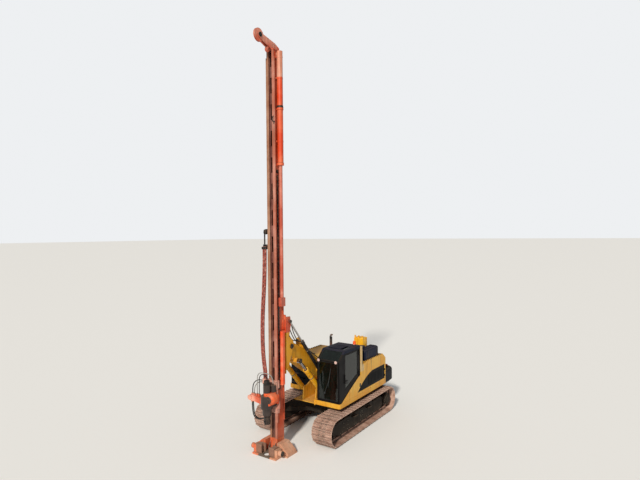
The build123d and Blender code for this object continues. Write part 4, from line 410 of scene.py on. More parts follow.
def coat_of_paint(name, fresh, bleached, bare, roughness, *nodes, chips=0.5, dust=0.4, mud=0.0, zones=(),
                  grime="#4A3B2E", gloss=0.5):
    """Enamel on CAD nodes, bleached in patches, chipped at its edges, dusty, and muddy near the ground.
    Zones are boxes, as (low corner, high corner, fresh, bleached), where the paint has another colour."""
    material, tree, shader = finish_of(name)
    place = add(tree, "TexCoord").outputs["Object"]
    axes = add(tree, "SeparateXYZ", {"Vector": place}).outputs
    patches = add(tree, "TexNoise", {"Vector": place, "Scale": per_metre(650), "Detail": 6.0,
                                     "Roughness": 0.65})
    fade = add(tree, "MapRange", {"Value": patches, "From Min": 0.4, "From Max": 0.66})
    paint = add(tree, "Mix", {SHARE: fade, FIRST: fresh, SECOND: bleached})
    for low, high, zone_fresh, zone_bleached in zones:
        inside = None
        for axis, (a, b) in zip(axes, zip(low, high)):
            within = add(tree, "Math", {0: axis, 1: (a + b) / 2, 2: (b - a) / 2}, operation="COMPARE")
            inside = add(tree, "Math", {0: inside, 1: within}, operation="MULTIPLY") if inside else within
        zone = add(tree, "Mix", {SHARE: fade, FIRST: zone_fresh, SECOND: zone_bleached})
        paint = add(tree, "Mix", {SHARE: inside, FIRST: paint, SECOND: zone})
    # Rain streaks: grime drawn down the walls
    drawn = add(tree, "Mapping", {"Vector": place, "Scale": (1.0, 1.0, 0.07)})
    runs = add(tree, "TexNoise", {"Vector": drawn, "Scale": per_metre(70), "Detail": 4.0, "Roughness": 0.6})
    washed = add(tree, "MapRange", {"Value": runs, "From Min": 0.54, "From Max": 0.78, "To Max": 0.75})
    streaked = add(tree, "Mix", {SHARE: washed, FIRST: paint, SECOND: grime})
    # Chips: where the rounded normal leaves the true one, and in scattered spots
    level, surface = worn_edge(tree, 0.012)
    edge = add(tree, "MapRange", {"Value": level, "From Min": 0.995, "From Max": 0.85, "To Max": 0.22})
    spots = add(tree, "TexNoise", {"Vector": place, "Scale": per_metre(48), "Detail": 8.0, "Roughness": 0.72})
    worn = add(tree, "Math", {0: spots, 1: edge}, operation="ADD")
    chip = add(tree, "MapRange", {"Value": worn, "From Min": 0.76 - 0.12 * chips,
                                  "From Max": 0.78 - 0.1 * chips})
    chipped = add(tree, "Mix", {SHARE: chip, FIRST: streaked, SECOND: bare})
    # Dust on what faces up, and splashed clay near the ground
    up = add(tree, "SeparateXYZ", {"Vector": surface}).outputs["Z"]
    lying = add(tree, "MapRange", {"Value": up, "From Min": 0.2, "From Max": 1.0, "To Max": dust})
    drift = add(tree, "Math", {0: lying, 1: patches}, operation="MULTIPLY")
    splash = add(tree, "MapRange", {"Value": axes["Z"], "From Min": 1.3, "From Max": 0.0, "To Max": mud})
    caked = add(tree, "Math", {0: splash, 1: runs}, operation="MULTIPLY")
    dirt = add(tree, "Math", {0: drift, 1: caked}, operation="ADD", use_clamp=True)
    dusty = add(tree, "Mix", {SHARE: dirt, FIRST: chipped, SECOND: "#A08D78"})
    dulled = add(tree, "Math", {0: fade, 1: 0.16, 2: roughness}, operation="MULTIPLY_ADD")
    matt = add(tree, "Math", {0: dirt, 1: 0.4, 2: dulled}, operation="MULTIPLY_ADD")
    rough = add(tree, "Math", {0: chip, 1: 0.2, 2: matt}, operation="MULTIPLY_ADD", use_clamp=True)
    flaw = add(tree, "Bump", {"Height": chip, "Strength": 0.35, "Distance": 0.001}, invert=True)
    orange_peel = add(tree, "TexNoise", {"Vector": place, "Scale": per_metre(9), "Detail": 2.0})
    skin = add(tree, "Bump", {"Height": orange_peel, "Strength": 0.08, "Distance": 0.001, "Normal": flaw})
    feed(shader, {"Base Color": dusty, "Roughness": rough, "Normal": skin, "Specular IOR Level": gloss})
    wear(material, *nodes)
    return material


# Frame black: satin black gone grey-brown, bare rusty edges, and clay over its lower half.
frame_black = coat_of_paint("frame_black", "#0C0B0C", "#161413", "#43302A", 0.6, "car_body", "track_frames",
                            mud=0.2, grime="#1A1513", gloss=0.15)

# Track steel: brown rust with a pinkish bloom of dry clay, lighter where the bars rub on the ground, and
# darkened to dark brown as painted shade in the valleys between the bars.
track_steel, tree, shader = finish_of("track_steel")
place = add(tree, "TexCoord").outputs["Object"]
bloom = add(tree, "TexNoise", {"Vector": place, "Scale": per_metre(240), "Detail": 7.0, "Roughness": 0.7})
rusted = add(tree, "MapRange", {"Value": bloom, "From Min": 0.38, "From Max": 0.62})
rust = add(tree, "Mix", {SHARE: rusted, FIRST: "#96705F", SECOND: "#C9A593"})
level, surface = worn_edge(tree, 0.014)
rubbed = add(tree, "MapRange", {"Value": level, "From Min": 0.99, "From Max": 0.8, "To Max": 0.8})
# Painted shade: occlusion darkens the shoes to dark brown in the valleys between their bars.
open_air = add(tree, "AmbientOcclusion", {"Distance": 0.075}, samples=4)
valley = add(tree, "MapRange", {"Value": open_air.outputs["AO"], "From Min": 0.97, "From Max": 0.68})
valley_shaded = add(tree, "Mix", {SHARE: valley, FIRST: rust, SECOND: "#3A251E"})
bright = add(tree, "Mix", {SHARE: rubbed, FIRST: valley_shaded, SECOND: "#F0DACB"})
specks = add(tree, "TexNoise", {"Vector": place, "Scale": per_metre(22), "Detail": 5.0, "Roughness": 0.7})
pitted = add(tree, "MapRange", {"Value": specks, "From Min": 0.4, "From Max": 0.3, "To Max": 0.8})
shoes = add(tree, "Mix", {SHARE: pitted, FIRST: bright, SECOND: "#4A362D"})
relief = add(tree, "Bump", {"Height": specks, "Strength": 0.5, "Distance": 0.002})
feed(shader, {"Base Color": shoes, "Metallic": rubbed, "Roughness": 0.72, "Normal": relief})
wear(track_steel, "track_left", "track_right")

# Greasy steel: dark forged steel under a film of oil that has caught dust, glossy in some patches.
greasy_steel, tree, shader = finish_of("greasy_steel")
place = add(tree, "TexCoord").outputs["Object"]
film = add(tree, "TexNoise", {"Vector": place, "Scale": per_metre(130), "Detail": 6.0, "Roughness": 0.68})
caught = add(tree, "MapRange", {"Value": film, "From Min": 0.48, "From Max": 0.7})
steel = add(tree, "Mix", {SHARE: caught, FIRST: "#1D1B1A", SECOND: "#5E4C40"})
wet = add(tree, "MapRange", {"Value": film, "From Min": 0.35, "From Max": 0.65, "To Min": 0.25,
                             "To Max": 0.8})
relief = add(tree, "Bump", {"Height": film, "Strength": 0.3, "Distance": 0.003})
feed(shader, {"Base Color": steel, "Metallic": 0.35, "Roughness": wet, "Normal": relief})
wear(greasy_steel, "slewing_ring", "track_rollers", "idler_wheels", "drive_sprockets", "valve_block",
     "engine_block", "drill_spindle", "feed_chain")

hex_bolt = turned("hex_bolt", 6, [(0, 0.5), (0.3, 0.5), (0.36, 0.44)], plated_steel, 20)
washer = turned("bolt_washer", 12, [(-0.02, 0.66), (0.02, 0.66)], plated_steel)
joined([hex_bolt, washer])


def fitted(piece, body, point, turn=Matrix()):
    """Turns a piece at the origin, moves it to its place and lets it ride a body."""
    piece.data.transform(Matrix.Translation(point) @ turn)
    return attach(piece, body)


def bolt_row(name, body, points, axis, size):
    """Hexagon bolts at given points, with heads that look along one axis."""
    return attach(copies(name, hex_bolt, [(point, axis, size) for point in points]), body)


def bolt_ring(name, body, centre, axis, radius, count, size, start=0.0):
    """A ring of hexagon bolts round an axis, with heads that look along it."""
    first = Vector(axis).orthogonal().normalized()
    second = Vector(axis).cross(first)
    points = []
    for i in range(count):
        angle = start + 2 * math.pi * i / count
        points.append(Vector(centre) + radius * (math.cos(angle) * first + math.sin(angle) * second))
    return bolt_row(name, body, points, axis, size)


def pressed_box(name, xs, ys, zs, edge, material, body):
    """A block with rounded edges between two bounds on each axis."""
    piece = begun(name, bpy.ops.mesh.primitive_cube_add, size=1.0)
    bpy.ops.transform.resize(value=[b - a for a, b in (xs, ys, zs)])
    bpy.ops.transform.translate(value=[(a + b) / 2 for a, b in (xs, ys, zs)])
    bpy.ops.mesh.bevel(offset=edge, segments=2, affect="EDGES")
    bpy.ops.object.mode_set(mode="OBJECT")
    bpy.ops.object.shade_smooth_by_angle(angle=math.radians(40))
    piece.data.materials.append(material)
    piece.select_set(False)
    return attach(piece, body)


def sorted_x(side, near, far):
    """The bounds across the machine of a piece on one side of it."""
    return tuple(sorted((side * near, side * far)))


SIDES = ((-1, "right"), (1, "left"))
WHEEL_Z = 0.496
SPROCKET_Y, IDLER_Y = 2.62, -1.42
TRACK_X = 1.295
SHOE_COUNT = 49
SHOE_ROUND, SHOE_FACE = 0.44, 0.462
SHOE_PITCH = 2 * (SPROCKET_Y - IDLER_Y + math.pi * SHOE_ROUND) / SHOE_COUNT
ROLLER_PITCH = 0.4833


def on_shoe(distance):
    """The point on the shoes' outer face at a distance round the track, and the way out from it."""
    straight, half_turn = SPROCKET_Y - IDLER_Y, math.pi * SHOE_ROUND
    if distance < straight:
        return Vector((0, IDLER_Y + distance, WHEEL_Z - SHOE_FACE)), Vector(DOWN)
    distance -= straight
    wheel_y, angle = SPROCKET_Y, distance / SHOE_ROUND - math.pi / 2
    if distance >= half_turn:
        distance -= half_turn
        if distance < straight:
            return Vector((0, SPROCKET_Y - distance, WHEEL_Z + SHOE_FACE)), Vector(UP)
        wheel_y, angle = IDLER_Y, (distance - straight) / SHOE_ROUND + math.pi / 2
    out = Vector((0, math.cos(angle), math.sin(angle)))
    return Vector((0, wheel_y, WHEEL_Z)) + out * SHOE_FACE, out


for side, hand in SIDES:
    outward = (side, 0, 0)
    fitted(turned("final_drive_" + hand, 28, [(0, 0.235), (0.03, 0.235), (0.035, 0.2), (0.075, 0.195),
                                              (0.085, 0.18), (0.087, 0.075), (0.1, 0.07)], frame_black),
           "undercarriage", (side * 1.505, SPROCKET_Y, WHEEL_Z), toward(outward))
    bolt_ring("final_drive_bolts_" + hand, "undercarriage", (side * 1.535, SPROCKET_Y, WHEEL_Z), outward,
              0.217, 14, 0.026)
    fitted(turned("idler_cap_" + hand, 20, [(0, 0.09), (0.018, 0.09), (0.024, 0.08), (0.026, 0.03),
                                            (0.036, 0.026)], greasy_steel),
           "undercarriage", (side * 1.432, IDLER_Y, WHEEL_Z), toward(outward))
    bolt_ring("idler_cap_bolts_" + hand, "undercarriage", (side * 1.45, IDLER_Y, WHEEL_Z), outward, 0.07, 6,
              0.016)
    bolt_ring("frame_cover_bolts_" + hand, "undercarriage", (side * 1.466, 0.6, 0.5), outward, 0.1, 8, 0.022)
    # Eight bolt heads show on each shoe, in two rows of four
    bolts = []
    for i in range(SHOE_COUNT):
        for share in (0.3, 0.8):
            point, out = on_shoe((i + share) * SHOE_PITCH)
            for across in (-0.11, -0.06, 0.06, 0.11):
                bolts.append((Vector((side * TRACK_X + across, 0, 0)) + point, out, 0.026))
    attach(copies("shoe_bolts_" + hand, hex_bolt, bolts), "undercarriage")
    for i, y in enumerate((-0.15, 0.95)):
        pressed_box(f"track_step_{hand}_{i + 1}", sorted_x(side, 1.462, 1.6), (y, y + 0.3), (0.6, 0.63),
                    0.008, frame_black, "undercarriage")
        for j in range(3):
            pressed_box(f"track_step_tread_{hand}_{i + 1}_{j + 1}", sorted_x(side, 1.49, 1.59),
                        (y + 0.04 + 0.09 * j, y + 0.06 + 0.09 * j), (0.626, 0.64), 0.004, greasy_steel,
                        "undercarriage")
    pressed_box("tension_cover_" + hand, sorted_x(side, 1.462, 1.474), (-0.75, -0.38), (0.38, 0.6), 0.006,
                frame_black, "undercarriage")
    bolt_row("tension_cover_bolts_" + hand, "undercarriage",
             [(side * 1.474, y, z) for y in (-0.71, -0.42) for z in (0.42, 0.56)], outward, 0.02)
    bolt_row("roller_bolts_" + hand, "undercarriage",
             [(side * 1.465, -0.85 + ROLLER_PITCH * n + dy, 0.27) for n in range(7) for dy in (-0.06, 0.06)],
             outward, 0.02)


# The upper frame
# A welded middle frame and two decks in yellow enamel with a tubular rim, the fuel tank, and the cast
# counterweight in blue-black. All are bolted together and have worked on drilling sites for years.
# Machine yellow: deep chrome yellow, bleached to straw on the sunny faces, chipped to brown primer.
coat_of_paint("machine_yellow", "#D8940F", "#E0AC3C", "#4A3526", 0.38, "turntable", "side_decks", chips=0.45,
              dust=0.45, mud=0.35)
# Counterweight black: bluish black enamel with a soft sheen, rubbed grey at the corners.
counterweight_black = coat_of_paint("counterweight_black", "#090C14", "#10151F", "#37322E", 0.5,
                                    "counterweight", "fuel_tank", chips=0.25, dust=0.15, grime="#0F1014",
                                    gloss=0.15)


def rod(name, start, end, radius, material, body):
    """A round bar with eased ends between two points."""
    along = Vector(end) - Vector(start)
    ease = radius * 0.3
    piece = turned(name, 14, [(0, radius * 0.75), (ease, radius), (along.length - ease, radius),
                              (along.length, radius * 0.75)], material)
    return fitted(piece, body, start, toward(along))


lifting_eye = turned("lifting_eye", 16, [(0, 0.06), (0.02, 0.06), (0.03, 0.035), (0.09, 0.035), (0.1, 0.025)],
                     counterweight_black)
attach(copies("counterweight_lifting_lugs", lifting_eye, [((x, 3.1, 1.62), UP, 1.0) for x in (-0.7, 0.7)]),
        "house")
put_away(lifting_eye)
for side, hand in reversed(SIDES):
    bolt_ring("counterweight_bolts_" + hand, "house", (side * 0.95, 2.9, 1.62), UP, 0.05, 3, 0.036)

fitted(turned("fuel_cap", 20, [(-0.01, 0.075), (0.02, 0.075), (0.026, 0.062), (0.055, 0.06), (0.062, 0.05)],
              greasy_steel), "house", (-1.18, 0.3, 2.23))
for i, z in enumerate((1.42, 1.78)):
    pressed_box(f"tank_step_{i + 1}", (-1.3, -0.95), (-0.13, -0.028), (z, z + 0.03), 0.008, frame_black,
                "house")
    bolt_row(f"tank_step_bolts_{i + 1}", "house", [(x, -0.1, z + 0.03) for x in (-1.25, -1.0)], UP, 0.022)
# Tail lamp red: red plastic with a soft gloss, dusty.
tail_lamp_red = coat_of_paint("tail_lamp_red", "#8E120C", "#A83A2E", "#5A1A14", 0.25, chips=0.0)
for side, hand in SIDES:
    pressed_box("tail_lamp_foot_" + hand, sorted_x(side, 1.08, 1.24), (3.28, 3.36), (1.615, 1.65), 0.006,
                frame_black, "house")
    pressed_box("tail_lamp_" + hand, sorted_x(side, 1.09, 1.23), (3.285, 3.355), (1.645, 1.71), 0.012,
                tail_lamp_red, "house")


# The engine house
# Sheet steel panels on posts: yellow sides that sweep down to the deck, louvred black doors, a black lid with
# raised ribs, a dark blue intake box and a bright yellow cabinet with lifting ears beside it.
# Body yellow: the machine's yellow with a bleached beige post behind the cab.
body_yellow = coat_of_paint("body_yellow", "#DB9A12", "#E2B24A", "#553C28", 0.36, "body_left", "body_right",
                            chips=0.35, dust=0.5,
                            zones=[((0.5, 0.48, 2.1), (1.6, 0.78, 3.2), "#C9A468", "#D8BC88")])
# Door black: satin black with dusty ledges on every louvre.
door_black = coat_of_paint("door_black", "#08090B", "#111214", "#332B26", 0.5, "service_door_left",
                           "service_door_right", "engine_hood", chips=0.2, dust=0.45, grime="#141210",
                           gloss=0.15)
# Cabinet yellow: newer than the rest, a clean bright yellow.
cabinet_yellow = coat_of_paint("cabinet_yellow", "#F0A808", "#F2B929", "#5A4022", 0.3, "upper_cabinet",
                               chips=0.2, dust=0.3)
# Intake blue: navy enamel with a soft gloss and rubbed corners.
intake_blue = coat_of_paint("intake_blue", "#080E22", "#101832", "#37322E", 0.42, "air_box", chips=0.25,
                            dust=0.15, grime="#0D0F18", gloss=0.2)
# Scorched steel: heat-browned pipe with a sooty mouth.
scorched_steel = coat_of_paint("scorched_steel", "#3A302B", "#6A4636", "#8A4F33", 0.62, "exhaust", chips=0.9,
                               dust=0.2, zones=[((-0.9, 1.7, 2.86), (-0.5, 2.0, 3.0), "#0E0D0C", "#191614")])

# Grained plastic: charcoal, dull, with a fine leather grain and pale scuffs.
grained_plastic, tree, shader = finish_of("grained_plastic")
place = add(tree, "TexCoord").outputs["Object"]
grain = add(tree, "TexVoronoi", {"Vector": place, "Scale": per_metre(4)}).outputs["Distance"]
scuffs = add(tree, "TexNoise", {"Vector": place, "Scale": per_metre(80), "Detail": 5.0})
plastic = add(tree, "Mix", {SHARE: scuffs, FIRST: "#191A1C", SECOND: "#3A3B3C"})
relief = add(tree, "Bump", {"Height": grain, "Strength": 0.2, "Distance": 0.001})
feed(shader, {"Base Color": plastic, "Roughness": 0.6, "Normal": relief})

for i, x in enumerate((-0.45, -0.15, 0.15, 0.45)):
    pressed_box(f"hood_rib_{i + 1}", (x - 0.025, x + 0.025), (1.15, 2.3), (2.432, 2.456), 0.009, door_black,
                "hood")
rod("hood_handle", (-0.12, 2.2, 2.49), (0.12, 2.2, 2.49), 0.012, plated_steel, "hood")
for x in (-0.11, 0.11):
    rod("hood_handle_post", (x, 2.2, 2.43), (x, 2.2, 2.49), 0.012, plated_steel, "hood")
for side, hand in SIDES:
    # The crest's raised seam with its clips, and the latch of the service door
    pressed_box("crest_seam_" + hand, sorted_x(side, 1.45, 1.49), (0.8, 2.3), (2.385, 2.42), 0.008,
                body_yellow, "house")
    for i in range(11):
        y = 0.86 + 0.13 * i
        pressed_box(f"crest_clip_{hand}_{i + 1}", sorted_x(side, 1.443, 1.497), (y, y + 0.035), (2.39, 2.438),
                    0.006, door_black, "house")
    pressed_box("service_latch_" + hand, sorted_x(side, 1.496, 1.512), (0.42, 0.5), (1.56, 1.68), 0.006,
                grained_plastic, hand + "_service_door")
    rod("service_latch_ring_" + hand, (side * 1.514, 0.435, 1.62), (side * 1.514, 0.485, 1.62), 0.007,
        plated_steel, hand + "_service_door")
pressed_box("cabinet_door", (1.006, 1.018), (1.62, 1.89), (2.47, 3.05), 0.006, cabinet_yellow, "house")
pressed_box("cabinet_latch", (1.016, 1.03), (1.64, 1.665), (2.74, 2.83), 0.005, greasy_steel, "house")
bolt_row("cabinet_hinge_bolts", "house", [(1.018, 1.875, z) for z in (2.52, 2.6, 2.92, 3.0)], (1, 0, 0),
         0.016)
for i in range(9):
    y = 1.12 + 0.1 * i
    pressed_box(f"intake_slat_{i + 1}", (1.12, 1.39), (y, y + 0.05), (2.786, 2.812), 0.008, intake_blue,
                "house")
for i, y in enumerate((1.15, 1.88)):
    pressed_box(f"intake_strap_{i + 1}", (1.446, 1.462), (y, y + 0.04), (2.41, 2.76), 0.005, greasy_steel,
                "house")
fitted(turned("exhaust_rain_cap", 22, [(0, 0.06), (0.006, 0.068), (0.012, 0.066), (0.016, 0.02)],
              scorched_steel), "house", (-0.69, 1.9, 3.0), Matrix.Rotation(math.radians(28), 4, "X"))


# The cab
# A black welded frame with a blue-black roof, flat tinted panes in rubber seals, grained plastic consoles and
# a sprung seat. The panes are greenish safety glass behind a film of dust.
# Cab black: satin black enamel, blue-black on the roof, rubbed grey at the door's edges.
cab_black = coat_of_paint("cab_black", "#070708", "#0F0F11", "#2C2724", 0.45, "cab_shell", "cab_door",
                          chips=0.15, dust=0.12, grime="#0E0D0C", gloss=0.14,
                          zones=[((0.4, -1.1, 3.0), (1.6, 0.6, 3.2), "#0A1226", "#121A30")])

# Safety glass: green-grey tint, clear inside, with streaks of dried dust that scatter the light.
safety_glass, tree, shader = finish_of("safety_glass")
place = add(tree, "TexCoord").outputs["Object"]
drawn = add(tree, "Mapping", {"Vector": place, "Scale": (1.0, 1.0, 0.25)})
dusting = add(tree, "TexNoise", {"Vector": drawn, "Scale": per_metre(200), "Detail": 6.0, "Roughness": 0.7})
soiled = add(tree, "MapRange", {"Value": dusting, "From Min": 0.42, "From Max": 0.75, "To Max": 0.32})
tint = add(tree, "Mix", {SHARE: soiled, FIRST: "#1C3129", SECOND: "#3E4D42"})
clear = add(tree, "MapRange", {"Value": soiled, "To Min": 0.9, "To Max": 0.55})
blurred = add(tree, "MapRange", {"Value": soiled, "To Min": 0.04, "To Max": 0.5})
feed(shader, {"Base Color": tint, "Transmission Weight": clear, "Roughness": blurred})
wear(safety_glass, "cab_glass", "cab_door_glass")
wear(grained_plastic, "control_consoles")

# Seat cloth: charcoal woven cover with lighter flecks, soft at grazing angles.
seat_cloth, tree, shader = finish_of("seat_cloth")
place = add(tree, "TexCoord").outputs["Object"]
weave = add(tree, "TexChecker", {"Vector": place, "Scale": per_metre(5), "Color1": "#1E1F22",
                                 "Color2": "#34363A"}).outputs
relief = add(tree, "Bump", {"Height": weave["Fac"], "Strength": 0.4, "Distance": 0.001})
feed(shader, {"Base Color": weave["Color"], "Roughness": 0.9, "Sheen Weight": 0.3, "Normal": relief})


def cushion(name, low, high):
    """A stuffed cushion between two corners, crowned and with rounded seams."""
    piece = begun(name, bpy.ops.mesh.primitive_cube_add, size=1.0)
    bpy.ops.mesh.subdivide(number_cuts=7, smoothness=0.55)
    bpy.ops.mesh.vertices_smooth(factor=0.5, repeat=2)
    bpy.ops.object.mode_set(mode="OBJECT")
    corners = [Vector(corner) for corner in piece.bound_box]
    small, large = corners[0], corners[6]
    size = [(b - a) / (d - c) for a, b, c, d in zip(low, high, small, large)]
    middle = [(a + b) / 2 - (c + d) / 2 * s for a, b, c, d, s in zip(low, high, small, large, size)]
    piece.data.transform(Matrix.Translation(middle) @ Matrix.Diagonal((*size, 1.0)))
    soften = piece.modifiers.new("soften", "SUBSURF")
    soften.levels = 1
    bpy.ops.object.modifier_apply(modifier="soften")
    bpy.ops.object.shade_smooth()
    piece.data.materials.append(seat_cloth)
    piece.select_set(False)
    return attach(piece, "house")


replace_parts(cushion("seat_cushion", (0.76, -0.25, 1.74), (1.248, 0.24, 1.87)), "operator_seat")
cushion("seat_back", (0.765, 0.2, 1.85), (1.243, 0.37, 2.3))
cushion("seat_headrest", (0.86, 0.23, 2.32), (1.148, 0.35, 2.485))
pressed_box("seat_pedestal", (0.82, 1.19), (-0.2, 0.2), (1.34, 1.745), 0.03, grained_plastic, "house")

# Lamp glass: glossy and fluted, with a painted reflection of the sky in pinkish white, banded light and dark
# along the flutes as painted highlights and shade.
lamp_glass, tree, shader = finish_of("lamp_glass")
place = add(tree, "TexCoord").outputs["Object"]
flutes = add(tree, "TexWave", {"Vector": place, "Scale": per_metre(60), "Distortion": 0.0},
             bands_direction="X").outputs["Fac"]
# Painted reflection: pinkish white sky, lighter and darker in bands along the flutes.
lens = add(tree, "Mix", {SHARE: flutes, FIRST: "#E2BEB6", SECOND: "#B49A94"})
relief = add(tree, "Bump", {"Height": flutes, "Strength": 0.4, "Distance": 0.002})
feed(shader, {"Base Color": lens, "Roughness": 0.12, "Normal": relief})

for hand, x in (("right", 0.64), ("left", 1.368)):
    housing = turned("work_lamp_" + hand, 24, [(0, 0.03), (0.012, 0.05), (0.03, 0.06), (0.066, 0.061),
                                               (0.072, 0.0575), (0.066, 0.053)], grained_plastic)
    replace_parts(fitted(housing, "house", (x, -0.986, 2.78), toward(FRONT)), "work_lamps")
    glass = turned("work_lamp_glass_" + hand, 24, [(0.06, 0.053), (0.068, 0.053), (0.072, 0.035),
                                                   (0.0735, 0.012)], lamp_glass, 60)
    fitted(glass, "house", (x, -0.986, 2.78), toward(FRONT))

# Beacon amber: orange-red plastic that lets a little light in, banded by thin ribs.
beacon_amber, tree, shader = finish_of("beacon_amber")
place = add(tree, "TexCoord").outputs["Object"]
ribs = add(tree, "TexWave", {"Vector": place, "Scale": per_metre(40), "Distortion": 0.0},
           bands_direction="Z").outputs["Fac"]
amber = add(tree, "Mix", {SHARE: ribs, FIRST: "#FF6A1E", SECOND: "#E04A10"})
feed(shader, {"Base Color": amber, "Roughness": 0.2, "Subsurface Weight": 0.3})
BEACON = (1.318, 0.36, 3.11)
fitted(turned("beacon_base", 24, [(0, 0.074), (0.02, 0.074), (0.028, 0.066), (0.04, 0.06)], grained_plastic),
       "house", BEACON)
dome = turned("beacon_dome", 24, [(0.036, 0.056), (0.06, 0.058), (0.063, 0.055), (0.07, 0.055),
                                  (0.073, 0.058), (0.095, 0.058), (0.098, 0.055), (0.105, 0.055),
                                  (0.108, 0.058), (0.14, 0.055), (0.156, 0.046), (0.166, 0.03),
                                  (0.169, 0.01)], beacon_amber, 50)
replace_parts(fitted(dome, "house", BEACON), "beacon")


def pane_seal(name, body, centre, size, turn, depth=0.012):
    """A rubber seal round a pane: a flat frame of a given size, drawn out and turned into place."""
    seal = begun(name, bpy.ops.mesh.primitive_plane_add, size=1.0)
    bpy.ops.transform.resize(value=(*size, 1))
    bpy.ops.mesh.inset(thickness=0.024, use_even_offset=True)
    bpy.ops.mesh.delete(type="FACE")
    bpy.ops.mesh.select_all(action="SELECT")
    bpy.ops.mesh.extrude_region_move(TRANSFORM_OT_translate={"value": (0, 0, depth)})
    bpy.ops.mesh.select_all(action="SELECT")
    bpy.ops.mesh.normals_make_consistent(inside=False)
    bpy.ops.object.mode_set(mode="OBJECT")
    seal.data.materials.append(grained_plastic)
    seal.select_set(False)
    return fitted(seal, body, centre, turn)


ON_SIDE = Matrix.Rotation(math.radians(90), 4, "Y")
ON_FRONT = Matrix.Rotation(math.radians(90), 4, "X")
ON_SLOPE = Matrix.Rotation(math.atan2(0.274, 0.316), 4, "X")
pane_seal("door_window_seal", "cab_door", (1.455, -0.135, 2.327), (1.239, 0.914), ON_SIDE)
pane_seal("front_window_seal", "house", (1.004, -0.969, 2.06), (0.83, 1.372), ON_FRONT)
pane_seal("upper_window_seal", "house", (1.004, -0.777, 2.928), (0.83, 0.45), ON_SLOPE, depth=0.008)
pane_seal("rear_window_seal", "house", (1.004, 0.492, 2.59), (0.79, 0.81), ON_FRONT)
rod("wiper_arm", (0.86, -0.992, 1.62), (1.08, -0.992, 2.2), 0.008, grained_plastic, "house")
rod("wiper_blade", (1.0, -0.99, 1.85), (1.12, -0.99, 2.52), 0.009, grained_plastic, "house")
rod("wiper_motor", (0.86, -0.984, 1.62), (0.86, -1.005, 1.62), 0.035, grained_plastic, "house")
pressed_box("cab_monitor", (0.655, 0.85), (-0.8, -0.765), (1.98, 2.12), 0.01, grained_plastic, "house")
rod("cab_monitor_stalk", (0.74, -0.775, 1.4), (0.74, -0.775, 1.99), 0.014, grained_plastic, "house")
for x, hand in ((0.654, "right"), (1.354, "left")):
    rod("joystick_" + hand, (x, -0.2, 2.02), (x, -0.22, 2.17), 0.011, grained_plastic, "house")
    fitted(turned("joystick_knob_" + hand, 16, [(0, 0.016), (0.02, 0.024), (0.075, 0.026), (0.1, 0.02),
                                                (0.11, 0.01)], grained_plastic, 60),
           "house", (x, -0.22, 2.15))
pressed_box("door_handle", (1.503, 1.52), (-0.63, -0.49), (1.98, 2.02), 0.007, grained_plastic, "cab_door")
pressed_box("door_lock_plate", (1.5, 1.51), (-0.655, -0.465), (1.94, 2.06), 0.004, cab_black, "cab_door")
pressed_box("roof_hatch", (0.68, 1.2), (-0.45, 0.1), (3.1, 3.135), 0.014, cab_black, "house")
for i in range(5):
    y = -0.38 + 0.1 * i
    pressed_box(f"roof_hatch_rib_{i + 1}", (0.73, 1.15), (y, y + 0.03), (3.13, 3.143), 0.006, cab_black,
                "house")


# The boom and its cylinders
# A short box boom welded from plate, in the machine's yellow, with pins held by bolted caps. The cylinders'
# barrels are painted yellow, the thin tilting ones black, and their rods are hard chrome.
# Boom yellow: as the frame, with more chips and oil streaks.
coat_of_paint("boom_yellow", "#CC8A10", "#DBA534", "#3E2A1E", 0.36, "boom", chips=0.65, grime="#33261B")
# Cradle paint: the boom's yellow below, and the mast's orange round the tilting cylinders' eyes.
coat_of_paint("cradle_paint", "#D9920C", "#E3A930", "#4A3224", 0.4, "mast_cradle", chips=0.6,
              zones=[((-0.5, -2.6, 3.95), (0.5, -1.9, 4.7), "#C5401D", "#D3714F")])
# Barrel yellow: brighter paint, renewed with the cylinders.
coat_of_paint("barrel_yellow", "#E9A50A", "#F0B836", "#3A2C20", 0.3, "boom_cylinder_barrels", chips=0.3,
              dust=0.3)
# Cylinder black: plain glossy black under dust.
coat_of_paint("cylinder_black", "#131315", "#232326", "#4B3E35", 0.34, "tilt_cylinder_barrels", chips=0.35,
              dust=0.5)

# Chromed rod: bright mirror steel, blued by the sky, with a thin film of oil and dust.
wear(filmed_metal("chromed_rod", "#C9CCD0", "#9A938B", 1.0, 0.05, 0.35, 110, 6.0, 0.7), "boom_cylinder_rods",
     "tilt_cylinder_rods")

# Pin caps with three bolts: (name, body, y, z, outer x, radius)
PIN_CAPS = (
    ("boom_foot_pin", "house", 0.25, 1.75, 0.284, 0.085),
    ("boom_tip_pin", "boom", -2.15, 3.45, 0.296, 0.085),
    ("boom_cylinder_base_pin", "boom_barrels", -0.55, 1.47, 0.466, 0.06),
    ("boom_cylinder_eye_pin", "boom_rods", -1.88, 2.9, 0.466, 0.06),
    ("tilt_cylinder_base_pin", "tilt_barrels", -0.52, 2.25, 0.356, 0.052),
    ("tilt_cylinder_eye_pin", "tilt_rods", -2.28, 4.33, 0.356, 0.052),
)
for name, body, y, z, x, radius in PIN_CAPS:
    for side, hand in SIDES:
        fitted(turned(name + "_cap_" + hand, 22, [(-0.01, radius), (0.012, radius), (0.018, radius * 0.92),
                                                  (0.02, radius * 0.35), (0.026, radius * 0.3)],
                      greasy_steel), body, (side * x, y, z), toward((side, 0, 0)))
        bolt_ring(name + "_cap_bolts_" + hand, body, (side * (x + 0.018), y, z), (side, 0, 0), radius * 0.68,
                  3, 0.024, 0.5)

